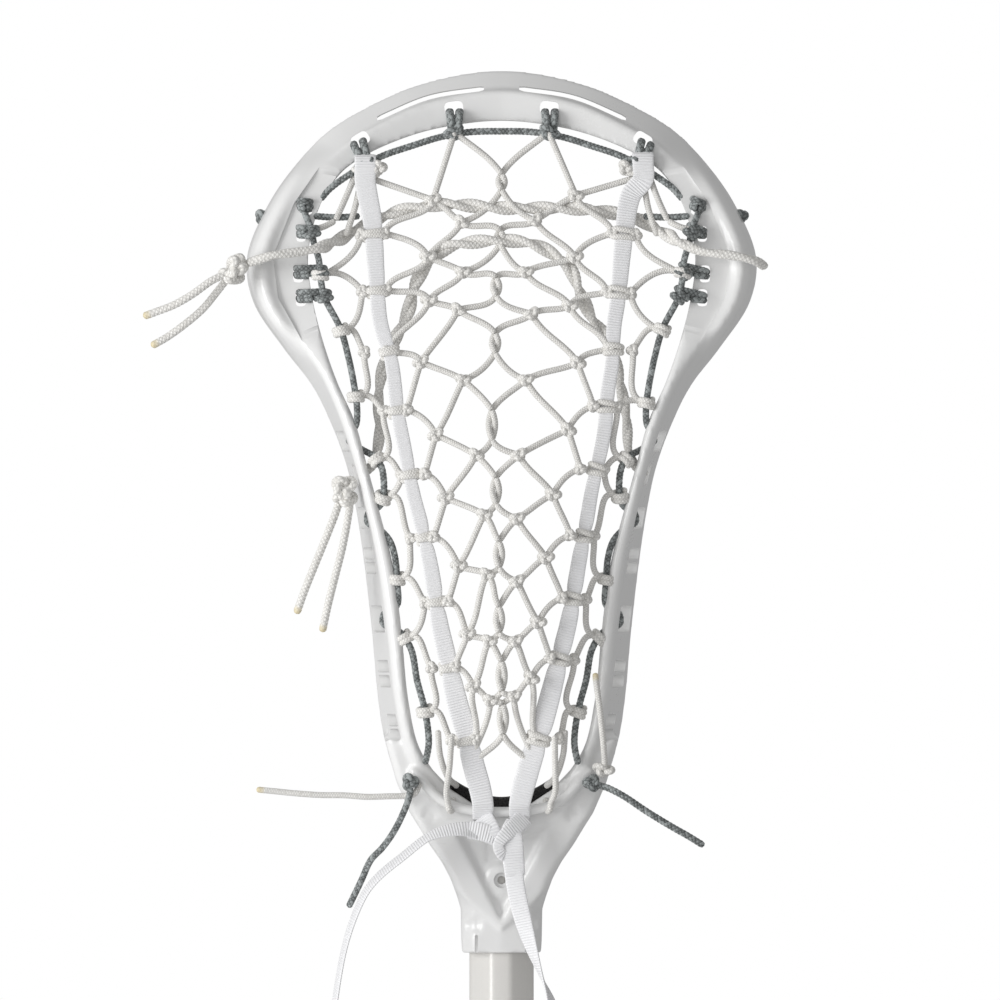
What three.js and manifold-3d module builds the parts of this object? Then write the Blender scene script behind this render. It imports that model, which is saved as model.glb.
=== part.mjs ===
// A field lacrosse stick: a moulded head with a hand-strung pocket on a straight octagonal shaft.
//
// Millimetres. +Z runs along the shaft towards the scoop, -Y is the back of the head, where the
// pocket bulges out, and the shaft's centre line is x = y = 0. The origin is the lower hand's grip.
// Heights on the head are counted from the lip of its socket: a point (x, y, height) of the head
// is at z = LIP_Z + height.

import * as THREE from "three";
import { mergeVertices } from "three/addons/utils/BufferGeometryUtils.js";
import Module from "manifold-3d";

const wasm = await Module();
wasm.setup();

// Driving dimensions
const GRIP_HEIGHT = 120; // from the butt end up to the origin
const SHAFT_LENGTH = 787;
const SHAFT_WIDTH = 24.8;
const SHAFT_DEPTH = 27;
const SHAFT_BACK_FLAT = 7.4; // width of the flats that face the back and the front
const SHAFT_SIDE_FLAT = 10.5; // width of the flats that face the sides
const SHAFT_WALL = 1.5;
const CAP_WALL = 1.9;
const CAP_END = 4;
const CAP_LENGTH = 30;
const GAP = 0.3; // between pieces that touch
const SOCKET_DEPTH = 44;
const SCREW_HEIGHT = 28;
const CORD_WIDTH = 2.6; // braided cord of the top and sidewall strings
const LACE_WIDTH = 2;
const SHOOTER_WIDTH = 4.6; // two strands, twisted together
const STRAND_WIDTH = 3.2; // one of those strands
const TAPE_WIDTH = 7;
const TAPE_THICKNESS = 1.6;
const SLOT_WIDTH = 3.2; // of the long slots beside the scoop's edge
const THROAT_RAIL_WIDTH = 4; // the bar across the throat that the pocket's foot is tied to

const SHAFT_BOTTOM = -GRIP_HEIGHT + CAP_END + GAP;
const SHAFT_TOP = SHAFT_BOTTOM + SHAFT_LENGTH;
const LIP_Z = SHAFT_TOP + GAP - SOCKET_DEPTH;

// One half of the rim, from the tip of the scoop to the middle of the throat. The section at each
// station is a sloping wall with a ledge along its back edge:
// outer x, height; inner x, height; ridge = how far in the back ridge stands; front, ridgeY and
// ledgeY = where the front rim, the ridge and the ledge lie; wall and ledge = their thicknesses.
const RIM = [
  [0, 340.7, 0, 320.7, 7, 14, 5, 2, 5, 5],
  [31, 335.5, 23.5, 318, 7, 13, 3.5, 0.5, 5, 5],
  [50, 327.5, 39, 313.5, 7.5, 11.5, 1, -2, 5, 5],
  [67.7, 316.7, 53, 307, 8, 10, -3, -5, 5, 5],
  [79.5, 304, 62, 300.3, 9, 8.5, -8, -8, 5, 5],
  [90, 288.8, 69.7, 288.5, 10, 7, -14, -11.5, 5, 5],
  [98.4, 268, 74.5, 269, 10.4, 6, -19, -14.5, 5, 5],
  [96, 251, 73.2, 254, 10, 5.5, -21.5, -17.5, 5, 5],
  [84.1, 232.8, 69.3, 237.5, 8, 5, -25, -23.5, 4.8, 5],
  [73, 218, 63.3, 220, 5.4, 4.2, -28, -28, 4.6, 5],
  [65.7, 203.3, 56.4, 204.5, 4.6, 3.5, -30, -30, 4.6, 5],
  [59.8, 187, 51.8, 188, 3.6, 3, -32, -32, 4.5, 5],
  [56.2, 170, 47.2, 171, 4.4, 3, -33, -33, 4.5, 5],
  [53, 148, 41.6, 148.5, 6.2, 3, -33, -33, 4.5, 5],
  [50.1, 122, 38.3, 122.5, 6.6, 4, -32, -32, 4.5, 5],
  [48, 98.4, 36, 98.6, 7, 6, -30, -30, 4.8, 5],
  [45.4, 82, 32.2, 80.5, 8, 8, -28, -28, 5.5, 5],
  [39.5, 63.8, 27.5, 72, 8, 10.5, -26, -26, 9, 6],
  [27, 44, 19.5, 62.5, 9, 13, -23, -23, 20, 8],
  [14, 37, 10, 55.8, 9, 14, -22, -22, 20, 8],
  [0, 35, 0, 54, 9, 14, -22, -22, 20, 8],
].map(([outerX, outerHeight, innerX, innerHeight, ridge, front, ridgeY, ledgeY, wall, ledge]) => ({
  outer: [outerX, outerHeight],
  inner: [innerX, innerHeight],
  ridge, front, ridgeY, ledgeY, wall, ledge,
}));
const RIM_STEPS = 36; // sections along one half of the rim

// The neck below the rim: height, half width, front and back.
const NECK = [
  [0, 15.2, 17, -17],
  [5, 15.5, 17.2, -17.4],
  [19, 16.3, 17.2, -18.4],
  [30, 20, 16.8, -19.4],
  [39, 24.8, 16, -20.4],
  [46, 28.5, 14.5, -21.5],
];

// Helpers

const at = (x, y, height) => new THREE.Vector3(x, y, LIP_Z + height);
const mix = (a, b, t) => a + (b - a) * t;

/** Turns a closed three.js geometry into a solid for cutting and joining. */
function solid(geometry) {
  const plain = geometry.clone();
  plain.deleteAttribute("normal");
  plain.deleteAttribute("uv");
  const merged = mergeVertices(plain, 1e-4);
  return new wasm.Manifold(new wasm.Mesh({
    numProp: 3,
    vertProperties: new Float32Array(merged.attributes.position.array),
    triVerts: new Uint32Array(merged.index.array),
  }));
}

/** Turns a solid back into a three.js geometry. */
function geometryOf(body) {
  const mesh = body.getMesh();
  const geometry = new THREE.BufferGeometry();
  const corners = new Float32Array(mesh.vertProperties);
  geometry.setAttribute("position", new THREE.BufferAttribute(corners, 3));
  geometry.setIndex(new THREE.BufferAttribute(new Uint32Array(mesh.triVerts), 1));
  return geometry;
}

const joined = (solids) => solids.reduce((sum, next) => sum.add(next));

/** A skin through rings of points; the ends are capped, or the last ring joins the first. */
function loft(rings, closed = false) {
  const count = rings[0].length;
  const positions = rings.flat().flatMap((point) => point.toArray());
  const faces = [];
  const spans = closed ? rings.length : rings.length - 1;
  for (let ring = 0; ring < spans; ring++) {
    const here = ring * count;
    const there = ((ring + 1) % rings.length) * count;
    for (let corner = 0; corner < count; corner++) {
      const next = (corner + 1) % count;
      faces.push(here + corner, here + next, there + next);
      faces.push(here + corner, there + next, there + corner);
    }
  }
  if (!closed) {
    const last = (rings.length - 1) * count;
    for (let corner = 1; corner < count - 1; corner++) {
      faces.push(0, corner + 1, corner);
      faces.push(last, last + corner, last + corner + 1);
    }
  }
  const geometry = new THREE.BufferGeometry();
  geometry.setAttribute("position", new THREE.Float32BufferAttribute(positions, 3));
  geometry.setIndex(faces);
  return outward(geometry);
}

/** Turns every face of a closed geometry round if they point inwards. */
function outward(geometry) {
  const points = geometry.attributes.position;
  const index = geometry.index.array;
  const [a, b, c] = [new THREE.Vector3(), new THREE.Vector3(), new THREE.Vector3()];
  let volume = 0;
  for (let i = 0; i < index.length; i += 3) {
    a.fromBufferAttribute(points, index[i]);
    b.fromBufferAttribute(points, index[i + 1]);
    c.fromBufferAttribute(points, index[i + 2]);
    volume += a.dot(b.cross(c));
  }
  if (volume < 0) {
    geometry.setIndex(Array.from(index).reverse());
  }
  return geometry;
}

/** A round cord along hand-placed points. */
function cord(points, width, steps, sides = 8) {
  const path = new THREE.CatmullRomCurve3(points, false, "centripetal");
  const section = new THREE.Shape();
  for (let side = 0; side < sides; side++) {
    const angle = (side / sides) * 2 * Math.PI;
    const [x, y] = [(Math.cos(angle) * width) / 2, (Math.sin(angle) * width) / 2];
    if (side === 0) {
      section.moveTo(x, y);
    } else {
      section.lineTo(x, y);
    }
  }
  section.closePath();
  return new THREE.ExtrudeGeometry(section, { steps, extrudePath: path });
}

/** A flat tape along hand-placed points. Turns, in degrees and evenly spread along it, twist its
 * broad side away from the back of the head. */
function tape(points, width, thickness, steps, turns = [0, 0]) {
  const path = new THREE.CatmullRomCurve3(points, false, "centripetal");
  const back = new THREE.Vector3(0, -1, 0);
  const rings = [];
  for (let step = 0; step <= steps; step++) {
    const middle = path.getPointAt(step / steps);
    const tangent = path.getTangentAt(step / steps);
    const along = (step / steps) * (turns.length - 1);
    const span = Math.min(Math.floor(along), turns.length - 2);
    const turn = THREE.MathUtils.degToRad(mix(turns[span], turns[span + 1], along - span));
    const across = new THREE.Vector3().crossVectors(tangent, back).normalize();
    across.applyAxisAngle(tangent, turn);
    const normal = new THREE.Vector3().crossVectors(across, tangent).normalize();
    rings.push([[-1, -1], [1, -1], [1, 1], [-1, 1]].map(([u, v]) => middle.clone()
      .addScaledVector(across, (u * width) / 2)
      .addScaledVector(normal, (v * thickness) / 2)));
  }
  return loft(rings);
}

/** A lumpy ball for a knot: half sizes along x, y and z. */
function knot(centre, [x, y, z], detail = 1) {
  const ball = new THREE.IcosahedronGeometry(1, detail);
  ball.scale(x, y, z);
  ball.translate(centre.x, centre.y, centre.z);
  return ball;
}

/** A straight four-sided strand between two points, a little past each. */
function strand(a, b, width) {
  const length = a.distanceTo(b) + width * 0.4;
  const bar = new THREE.CylinderGeometry(width / 2, width / 2, length, 4);
  const turn = new THREE.Quaternion().setFromUnitVectors(
    new THREE.Vector3(0, 1, 0), b.clone().sub(a).normalize());
  bar.applyQuaternion(turn);
  const middle = a.clone().add(b).multiplyScalar(0.5);
  bar.translate(middle.x, middle.y, middle.z);
  return bar;
}

/** A cylinder along Y for cutting a round or oval hole. */
function holeThrough(centre, radiusX, radiusZ, length, turn = new THREE.Euler()) {
  const tool = new THREE.CylinderGeometry(1, 1, length, 12);
  tool.scale(radiusX, 1, radiusZ);
  tool.applyQuaternion(new THREE.Quaternion().setFromEuler(turn));
  tool.translate(centre.x, centre.y, centre.z);
  return tool;
}

/** A block cut by its corners, for octagonal sections. */
function octagonPrism(halfWidth, halfDepth, backFlat, sideFlat, low, high) {
  const corners = [
    [backFlat / 2, -halfDepth], [halfWidth, -sideFlat / 2],
    [halfWidth, sideFlat / 2], [backFlat / 2, halfDepth],
    [-backFlat / 2, halfDepth], [-halfWidth, sideFlat / 2],
    [-halfWidth, -sideFlat / 2], [-backFlat / 2, -halfDepth],
  ];
  return loft([low, high].map((z) => corners.map(([x, y]) => new THREE.Vector3(x, y, z))));
}

/** The shaft's octagon, grown outwards by a margin. */
function shaftPrism(margin, low, high) {
  return octagonPrism(SHAFT_WIDTH / 2 + margin, SHAFT_DEPTH / 2 + margin,
    SHAFT_BACK_FLAT + 0.8 * margin, SHAFT_SIDE_FLAT + 0.8 * margin, low, high);
}

// The pocket: a bowl hung between the sidewall strings

const POCKET_DEPTHS = [
  // height, y at the sidewall strings, y on the centre line
  [325, -2, -2], [300, -7, -7], [275, -13, -14], [250, -19, -22], [220, -26, -33], [190, -30, -44],
  [160, -31, -51], [130, -30.5, -51], [100, -29, -45], [75, -29, -35.5], [52, -30.5, -30.5],
];
const POCKET_HALF_WIDTHS = [
  [52, 24], [75, 28], [100, 31], [130, 37.5], [160, 42], [190, 47], [220, 56], [250, 67], [275, 71],
  [300, 66], [325, 60],
];

/** Reads a value between the rows of a table whose first column rises or falls steadily. */
function readTable(table, key, column) {
  const rows = [...table].sort((a, b) => a[0] - b[0]);
  const next = rows.findIndex((row) => row[0] >= key);
  if (next <= 0) {
    return rows[next < 0 ? rows.length - 1 : 0][column];
  }
  const [low, high] = [rows[next - 1], rows[next]];
  return mix(low[column], high[column], (key - low[0]) / (high[0] - low[0]));
}

function pocketY(x, height) {
  const edge = readTable(POCKET_DEPTHS, height, 1);
  const middle = readTable(POCKET_DEPTHS, height, 2);
  const across = Math.min(1, Math.abs(x) / readTable(POCKET_HALF_WIDTHS, height, 1));
  return mix(middle, edge, across ** 2);
}

/** A point of the pocket at (x, height), lifted off it towards the face side. */
const onPocket = ([x, height], lift = 0) => at(x, pocketY(x, height) + lift, height);

// The head

function rimRings() {
  const curve = (read) => {
    const points = RIM.map((row) => new THREE.Vector3(...read(row)));
    return new THREE.CatmullRomCurve3(points, false, "centripetal");
  };
  const outer = curve((row) => [row.outer[0], row.outer[1], row.front]);
  const half = [];
  for (let step = 0; step <= RIM_STEPS; step++) {
    const place = (step / RIM_STEPS) * (RIM.length - 1);
    const low = Math.min(Math.floor(place), RIM.length - 2);
    const read = (name) => mix(RIM[low][name], RIM[low + 1][name], place - low);
    const outside = outer.getPoint(step / RIM_STEPS);
    const inside = curve((row) => [row.inner[0], row.inner[1], 0]).getPoint(step / RIM_STEPS);
    const width = Math.hypot(outside.x - inside.x, outside.y - inside.y);
    const ridge = read("ridge");
    const ledgeTop = read("ledgeY") + read("ledge");
    const section = [
      [0, read("front") - 2],
      [2, read("front")],
      [Math.min(width - 1, read("wall")), read("front")],
      [Math.min(width - 0.2, ridge + read("wall") - 1), ledgeTop],
      [width, ledgeTop - 0.5],
      [width, read("ledgeY")],
      [ridge + 1.6, read("ledgeY")],
      [ridge + 0.6, read("ridgeY") - 0.01],
      [ridge - 1.2, read("ridgeY") + 0.8],
    ];
    half.push(section.map(([inwards, y]) => at(
      mix(outside.x, inside.x, inwards / width), y, mix(outside.y, inside.y, inwards / width))));
  }
  const mirrored = half.slice(1, -1).reverse().map((ring) => (
    ring.map((p) => new THREE.Vector3(-p.x, p.y, p.z))));
  return [...half, ...mirrored];
}

function neckRings() {
  return NECK.map(([height, halfWidth, front, back]) => {
    const chamfer = 5;
    return [
      [halfWidth - chamfer, back], [halfWidth, back + chamfer],
      [halfWidth, front - chamfer], [halfWidth - chamfer, front],
      [-halfWidth + chamfer, front], [-halfWidth, front - chamfer],
      [-halfWidth, back + chamfer], [-halfWidth + chamfer, back],
    ].map(([x, y]) => at(x, y, height));
  });
}

/** Holes through the ledge and the scoop: x, height, half width, half height, turn. */
const LEDGE_HOLES = [
  [18.4, 325.7, 3.6, 2.6, -0.12], [54.5, 313.4, 3.6, 2.6, -0.55],
  [75.3, 287.3, 1.8, 3.2, -0.3], [77.3, 276.9, 1.8, 3], [78.3, 261.5, 2, 3.3], [77.3, 252.3, 2, 3.3],
];
/** Holes through the sloping sidewall, seen from the side: height, half width, half height. */
const WALL_HOLES = [
  [196, 1.8, 4], [184, 3, 4], [167.5, 1.8, 4], [151, 2, 5], [128.6, 2.4, 5.5], [107.5, 2, 5],
  [86.5, 2, 5],
];

function headFrame(cordsThroughIt) {
  const neck = solid(loft(neckRings()));
  const rim = solid(loft(rimRings(), true));
  const throatRail = solid(cord(THROAT_RAIL.map(place), THROAT_RAIL_WIDTH, 24));
  const cuts = [solid(shaftPrism(GAP, LIP_Z - 1, SHAFT_TOP + GAP))];
  for (const side of [-1, 1]) {
    for (const [x, height, halfWidth, halfHeight, turn = 0] of LEDGE_HOLES) {
      const angle = new THREE.Euler(0, -side * turn, 0);
      cuts.push(solid(holeThrough(at(side * x, -8, height), halfWidth, halfHeight, 60, angle)));
    }
    for (const [height, halfDepth, halfHeight] of WALL_HOLES) {
      const turn = new THREE.Euler(0, 0, Math.PI / 2);
      cuts.push(solid(holeThrough(at(side * 50, -19, height), halfDepth, halfHeight, 44, turn)));
    }
    // A long slot beside the edge of the scoop
    const slotRoute = [at(side * 8, 4, 332), at(side * 28, 4, 329.2), at(side * 46.5, 2, 321.5)];
    const slot = cord(slotRoute, SLOT_WIDTH, 8, 6);
    for (const shift of [0, 5, -4]) {
      cuts.push(solid(slot.clone().translate(0, shift, 0)));
    }
    // A half-round notch beside the screw
    cuts.push(solid(holeThrough(at(side * 10.2, -19, 12), 3, 3, 3)));
  }
  // The screw's hole, with a sunk seat at the back
  cuts.push(solid(holeThrough(at(0, -13, SCREW_HEIGHT), 1.6, 1.6, 20)));
  cuts.push(solid(holeThrough(at(0, -19, SCREW_HEIGHT), 2.8, 2.8, 7)));
  cuts.push(solid(holeThrough(at(0, -20.6, SCREW_HEIGHT), 4.4, 4.4, 3)));
  return neck.add(rim).subtract(joined([...cuts, ...cordsThroughIt])).add(throatRail);
}

// Cord routes. Points are [x, y, height] on the left of the head, or (x, height) on the pocket.

const place = ([x, y, height]) => at(x, y, height);
const flipped = ([x, y, height]) => [-x, y, height];

const TOP_STRING = [
  [-70, -10, 290], [-66, -9.5, 294.5], [-56, -8, 301.5], [-46, -6, 307], [-35, -4.5, 310.8],
  [-23, -3, 314.5], [-12, -2.2, 316.3], [0, -2, 316.6],
];
const SIDEWALL_STRING = [
  [-71, -14, 284], [-71, -17, 270], [-68, -20.5, 251], [-61.5, -23, 238.5], [-57.2, -25.5, 226],
  [-54.8, -28, 212], [-50.8, -29.5, 200], [-46.5, -30.5, 188], [-44.3, -31, 175], [-43, -31.2, 163],
  [-40.3, -31, 153], [-38.3, -30.8, 143], [-37.2, -30.2, 132], [-35.4, -29.8, 120],
  [-32.4, -29, 106], [-29.2, -28.6, 93], [-28, -28.6, 81], [-29.5, -29, 72.5],
];
const LEFT_RUNNER = [
  [-52.5, 301], [-49.8, 282], [-48.3, 263], [-46.8, 243.7], [-42.3, 227.5], [-39.8, 207],
  [-37.2, 194], [-33.7, 176], [-31, 165.6], [-27.1, 148], [-24.1, 128.6], [-20.6, 112.8],
  [-17.5, 98.6], [-13.7, 85], [-11, 73.5], [-8, 63], [-5.9, 53.5],
];
const RIGHT_RUNNER = [
  [54.5, 302], [49.9, 291.8], [47, 274], [44.9, 252.2], [43.3, 241.4], [42.5, 226.4], [41, 216.8],
  [39.5, 200.6], [37.4, 189.8], [34.8, 178.6], [32.9, 167.5], [29.8, 151], [26, 128.6],
  [22.9, 115.9], [17.1, 93.2], [11.4, 76.2], [5.6, 57], [4.9, 53.5],
];
// Heights at which a lace is wrapped round each runner
const WRAPS = [276.8, 254.9, 231.8, 209.4, 185, 160, 135.5, 111.5, 82.5];
// Where the laces loop round the sidewall strings
const LOOPS = [
  [-70.3, 261], [-62, 239.5], [-55, 214], [-48, 194], [-43.2, 174.6], [-37.8, 144], [-35.2, 122.3],
  [-29.2, 93],
];
// The pocket's knots on the left; the right side mirrors them
const OUTER_KNOTS = [
  [-26.5, 290.5], [-28.3, 268], [-27.3, 250.5], [-30, 227.4], [-25.4, 200.4], [-20.6, 176],
  [-16.8, 150.5], [-13.6, 125], [-11.1, 104.3],
];
const INNER_KNOTS = [
  [-14.3, 281.8], [-12.2, 262.2], [-14.2, 246.8], [-12.1, 220.6], [-8.2, 191.7], [-6.4, 168],
  [-5.8, 144.5], [-5.1, 120.3], [-4.6, 98],
];
// The two strands of the middle are twisted together between these heights
const TWISTS = [
  [300, 294], [278, 273], [260, 253], [238.5, 231], [209, 197.5], [183, 173], [158.5, 148.5],
  [133.5, 123.5], [112.5, 101], [96, 84.5],
];

const UPPER_SHOOTER = [
  [-98, -24.5, 265.5], [-88, -26, 268.5], [-77, -24, 270], [-70, -21.5, 271.5], [-63.5, -13, 274],
  [-58, -7, 277.5], [-50, -7.5, 281.5], [-41, -9, 285.3], [-31, -9, 287.3], [-22, -9, 288.3],
  [0, -9, 287], [22, -9, 286.8], [33, -9, 286.4], [43, -7.5, 285], [51, -6.3, 283.2], [58, -8, 280],
  [64, -13, 276.5], [70, -21.5, 273], [77, -24, 270], [88, -26, 268.6], [97.5, -24.5, 266.5],
  [101.6, -19, 264],
];
const LOWER_SHOOTER = [
  [-55, -24, 184], [-50, -24.5, 187.5], [-47.2, -19, 198], [-47.4, -16, 213], [-46, -14.5, 224],
  [-43.5, -15, 232], [-39.5, -15.5, 239.5], [-36, -15.5, 247], [-33, -14, 258], [-27.5, -13, 266.5],
  [-20, -13.5, 272], [-12, -14, 273.6], [0, -14, 274.4], [12, -14, 273], [20, -13.5, 269],
  [26, -13.5, 264], [30, -14.5, 255], [35, -15.5, 244], [40.5, -15.5, 236.5], [43.5, -15.5, 228],
  [46.6, -16, 215], [48.3, -18, 204], [49, -23, 193], [52, -25, 187], [56, -24, 184],
];

const THROAT_RAIL = [
  [-34.5, -25, 71], [-29.2, -26.4, 64.8], [-22.6, -26.6, 58.6], [-12.3, -26.6, 55.2],
  [0, -26.6, 54.4], [12.3, -26.6, 55.2], [22.6, -26.6, 58.6], [29.2, -26.4, 64.8], [34.5, -25, 71],
];

const leftSide = (points) => points.map(place);
const rightSide = (points) => points.map(flipped).map(place);

const topRoute = leftSide([...TOP_STRING, ...TOP_STRING.slice(0, -1).reverse().map(flipped)]);
const sidewallRoutes = { left: leftSide(SIDEWALL_STRING), right: rightSide(SIDEWALL_STRING) };
const runnerRoutes = {
  left: LEFT_RUNNER.map((point) => onPocket(point)),
  right: RIGHT_RUNNER.map((point) => onPocket(point)),
};

// Free tails of cord, as [x, y, height]; each starts at the knot that holds it
const TAILS = {
  upper_shooter_tail_a: {
    width: STRAND_WIDTH,
    points: [
      [-107, -25, 261], [-112, -26, 258.5], [-119, -26, 253.5], [-126, -25, 249.5],
      [-132.5, -24, 247], [-138, -23, 245],
    ],
  },
  upper_shooter_tail_b: {
    width: STRAND_WIDTH,
    points: [
      [-106.5, -21, 258.4], [-110, -20, 254], [-115, -19, 248], [-122, -18.5, 242],
      [-129, -18, 237], [-135, -18, 233.6],
    ],
  },
  lower_shooter_tail_a: {
    width: STRAND_WIDTH,
    points: [
      [-62.5, -26, 173.5], [-64, -27.5, 169], [-67.5, -28, 160], [-72, -27, 149], [-76, -25, 139],
      [-79, -23, 130.5],
    ],
  },
  lower_shooter_tail_b: {
    width: STRAND_WIDTH,
    points: [
      [-58.5, -29, 172.8], [-59, -31.5, 168], [-61, -32.5, 157], [-64, -31, 145], [-67, -28.5, 133],
      [-69, -26, 123.5],
    ],
  },
  left_sidewall_tail: {
    width: CORD_WIDTH,
    points: [
      [-35.2, -30.8, 62.2], [-36.2, -31.5, 58], [-41, -31.8, 47.6], [-45.8, -30, 40.7],
      [-50.3, -28, 35.9], [-54, -26, 27.9], [-59, -24, 17.5],
    ],
  },
  right_sidewall_tail: {
    width: CORD_WIDTH,
    points: [
      [38.4, -31.3, 64.4], [41, -32, 63.6], [47, -32.5, 60.5], [56, -32, 54.5], [65, -30.5, 49],
      [72, -29, 45], [78, -27.5, 41.3],
    ],
  },
  bottom_lace_tail: {
    width: LACE_WIDTH,
    points: [
      [-38.4, -27.2, 60.9], [-44, -27.5, 60.4], [-52, -27, 60.2], [-61, -26.5, 60.8],
      [-70, -26, 60.9], [-80, -25.5, 61.6], [-88, -25, 62.4], [-94.4, -24.5, 63],
    ],
  },
  bottom_knot_tail: {
    width: LACE_WIDTH,
    points: [
      [39.6, -33.6, 73.5], [39.4, -35.5, 77.5], [38.6, -37, 86], [37.6, -37, 95], [36.4, -36, 104],
      [36, -35, 108],
    ],
  },
};
const TAPE_TAILS = {
  left_runner_tail: {
    turns: [0, 40, 70, 75, 75, 60, 40],
    points: [
      [-9.8, -31.4, 47.2], [-16, -33, 47.9], [-27, -34, 45.4], [-38, -34, 37.3], [-47.7, -33, 29.2],
      [-52.8, -32, 22.6], [-59.5, -31, 5.6], [-64, -30, -18], [-66, -29, -38], [-66.5, -28, -58],
      [-66, -27, -80], [-65, -26, -100],
    ],
  },
  right_runner_tail: {
    turns: [0, 20, 85, 160, 185, 190, 190],
    points: [
      [3.6, -32.4, 38.6], [4.4, -33, 34], [5.4, -33.5, 26], [8, -33, 14], [11.5, -32, 2],
      [15, -31, -8], [18.9, -30, -18], [22, -29, -32], [24, -28, -50], [25, -27, -70],
      [25, -26, -90], [24.5, -25, -108],
    ],
  },
};

// The small knots that hold the tails, as [x, y, height] and half sizes
const KNOTS = {
  upper_shooter_knot: [[-102.5, -23.5, 262.5], [3.6, 4.2, 4.2]],
  lower_shooter_knot: [[-60.5, -28, 178], [4.4, 4.2, 4.6]],
  left_sidewall_knot: [[-35.2, -30.6, 66], [3.4, 2.8, 3.2]],
  right_sidewall_knot: [[34.6, -31, 65.6], [3.4, 2.8, 3.2]],
  bottom_lace_knot: [[39.2, -32, 70.6], [2.6, 2.6, 2.6]],
  left_runner_knot: [[-5.4, -31.4, 47], [4, 2.8, 3.2]],
  right_runner_knot: [[3, -31.4, 44.4], [3.6, 3, 5.2]],
};

// Laces

/** The point of a runner at a height of the head. */
const runnerPoint = (runner, height) => {
  const path = new THREE.CatmullRomCurve3(runner, false, "centripetal");
  return path.getPoints(400).reduce((best, p) => (
    Math.abs(p.z - LIP_Z - height) < Math.abs(best.z - LIP_Z - height) ? p : best));
};

/** A band of lace round a runner, grown by a margin. */
function wrapAround(runner, height, margin = 0) {
  const reach = 2.2 + margin / 2;
  const ends = [runnerPoint(runner, height + reach), runnerPoint(runner, height - reach)];
  return tape(ends, TAPE_WIDTH + 3.4 + margin, TAPE_THICKNESS + 3.4 + margin, 1);
}

/** The edge of a runner's wrap: outwards is 1 at the sidewall's side of the runner and -1 inside. */
const wrapEdge = (side, height, outwards) => {
  const runner = side < 0 ? runnerRoutes.left : runnerRoutes.right;
  const reach = new THREE.Vector3(side * outwards * (TAPE_WIDTH / 2 + 1), 0, 0);
  return runnerPoint(runner, height).add(reach);
};

/** The largest of a solid's separate pieces. */
const largest = (body) => body.decompose().reduce((best, next) => (
  next.volume() > best.volume() ? next : best));

/** The laces between a sidewall string and its runner, with the wraps round the runner. */
function sideLace(side) {
  const runner = side < 0 ? runnerRoutes.left : runnerRoutes.right;
  const parts = WRAPS.map((height) => wrapAround(runner, height));
  LOOPS.forEach(([x, height], index) => {
    const loop = onPocket([-side * x, height]).add(new THREE.Vector3(0, -0.6, 0));
    parts.push(knot(loop, [2.8, 2.8, 2.4], 0));
    parts.push(strand(loop, wrapEdge(side, WRAPS[index], 1), LACE_WIDTH));
    parts.push(strand(loop, wrapEdge(side, WRAPS[index + 1], 1), LACE_WIDTH));
  });
  return joined(parts.map(solid));
}

/** The net of laces between the two runners. */
function centreLace() {
  const parts = [];
  const line = (a, b) => parts.push(strand(a, b, LACE_WIDTH));
  for (const side of [-1, 1]) {
    const outer = OUTER_KNOTS.map(([x, height]) => onPocket([-side * x, height]));
    const inner = INNER_KNOTS.map(([x, height]) => onPocket([-side * x, height]));
    const wraps = WRAPS.map((height) => wrapEdge(side, height, -1));
    const twists = TWISTS.map(([top, bottom]) => [onPocket([0, top]), onPocket([0, bottom])]);
    [...outer.slice(2), ...inner].forEach((p) => parts.push(knot(p, [2.1, 2.1, 2.1], 0)));
    outer.forEach((p, index) => {
      if (index > 0) {
        line(p, wraps[index - 1]);
        line(p, inner[index - 1]);
      }
      line(p, wraps[index]);
      line(p, inner[index]);
    });
    inner.forEach((p, index) => {
      line(p, twists[index][1]);
      line(p, twists[index + 1][0]);
    });
    line(outer[0], onPocket([side * 18.5, 313]));
    line(outer[0], wrapEdge(side, 299, -1));
    line(twists[0][0], onPocket([side * 17.5, 313]));
    line(twists[9][1], wrapEdge(side, 73, -1));
  }
  for (const [top, bottom] of TWISTS) {
    parts.push(strand(onPocket([0, top]), onPocket([0, bottom]), LACE_WIDTH * 1.6));
  }
  return joined(parts.map(solid));
}

/** The laces that tie the pocket's foot to the rail across the throat. */
const BOTTOM_LACES = {
  left_bottom_lace: [[-19.2, -42, 84], [-20, -38.5, 72], [-21.2, -34.5, 62], [-20.8, -31, 53.5]],
  right_bottom_lace: [[20.4, -42, 84], [20.6, -38.5, 72], [20.6, -34.5, 62], [19.2, -31, 53.5]],
};

/** A loop of the top string through one of the scoop's holes. */
function topLoop(x, hole, low, y, width = CORD_WIDTH - 0.2) {
  const direction = Math.sign(x);
  const inwards = Math.abs(x) > 40 ? 4.6 : 0.8;
  const across = (t) => x - direction * inwards * t;
  return cord([
    at(across(0), y + 7.6, mix(hole, low, 0.5)),
    at(across(0), y + 5.5, hole),
    at(across(0), y, hole),
    at(across(0.4), y - 3.4, hole - 2),
    at(across(1), y - 3.4, low),
    at(across(1), y + 2, low - 1.4),
    at(across(1), y + 6.6, low),
    at(across(0.5), y + 7.8, mix(hole, low, 0.6)),
  ], width, 12, 6);
}

// Materials

const matt = (color, roughness, metalness = 0) => (
  new THREE.MeshStandardMaterial({ color, roughness, metalness }));
const MATERIALS = {
  plastic: () => matt(0xe6e6e4, 0.25),
  shaft: () => matt(0xd9d7d2, 0.4, 0.1),
  rubber: () => matt(0x1c1c1e, 0.85),
  foam: () => matt(0x232322, 0.95),
  cord: () => matt(0x6b7070, 0.9),
  lace: () => matt(0xe8e8e6, 0.9),
  tape: () => matt(0xefeef3, 0.9),
  steel: () => matt(0x9a9a98, 0.35, 1),
};

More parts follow.
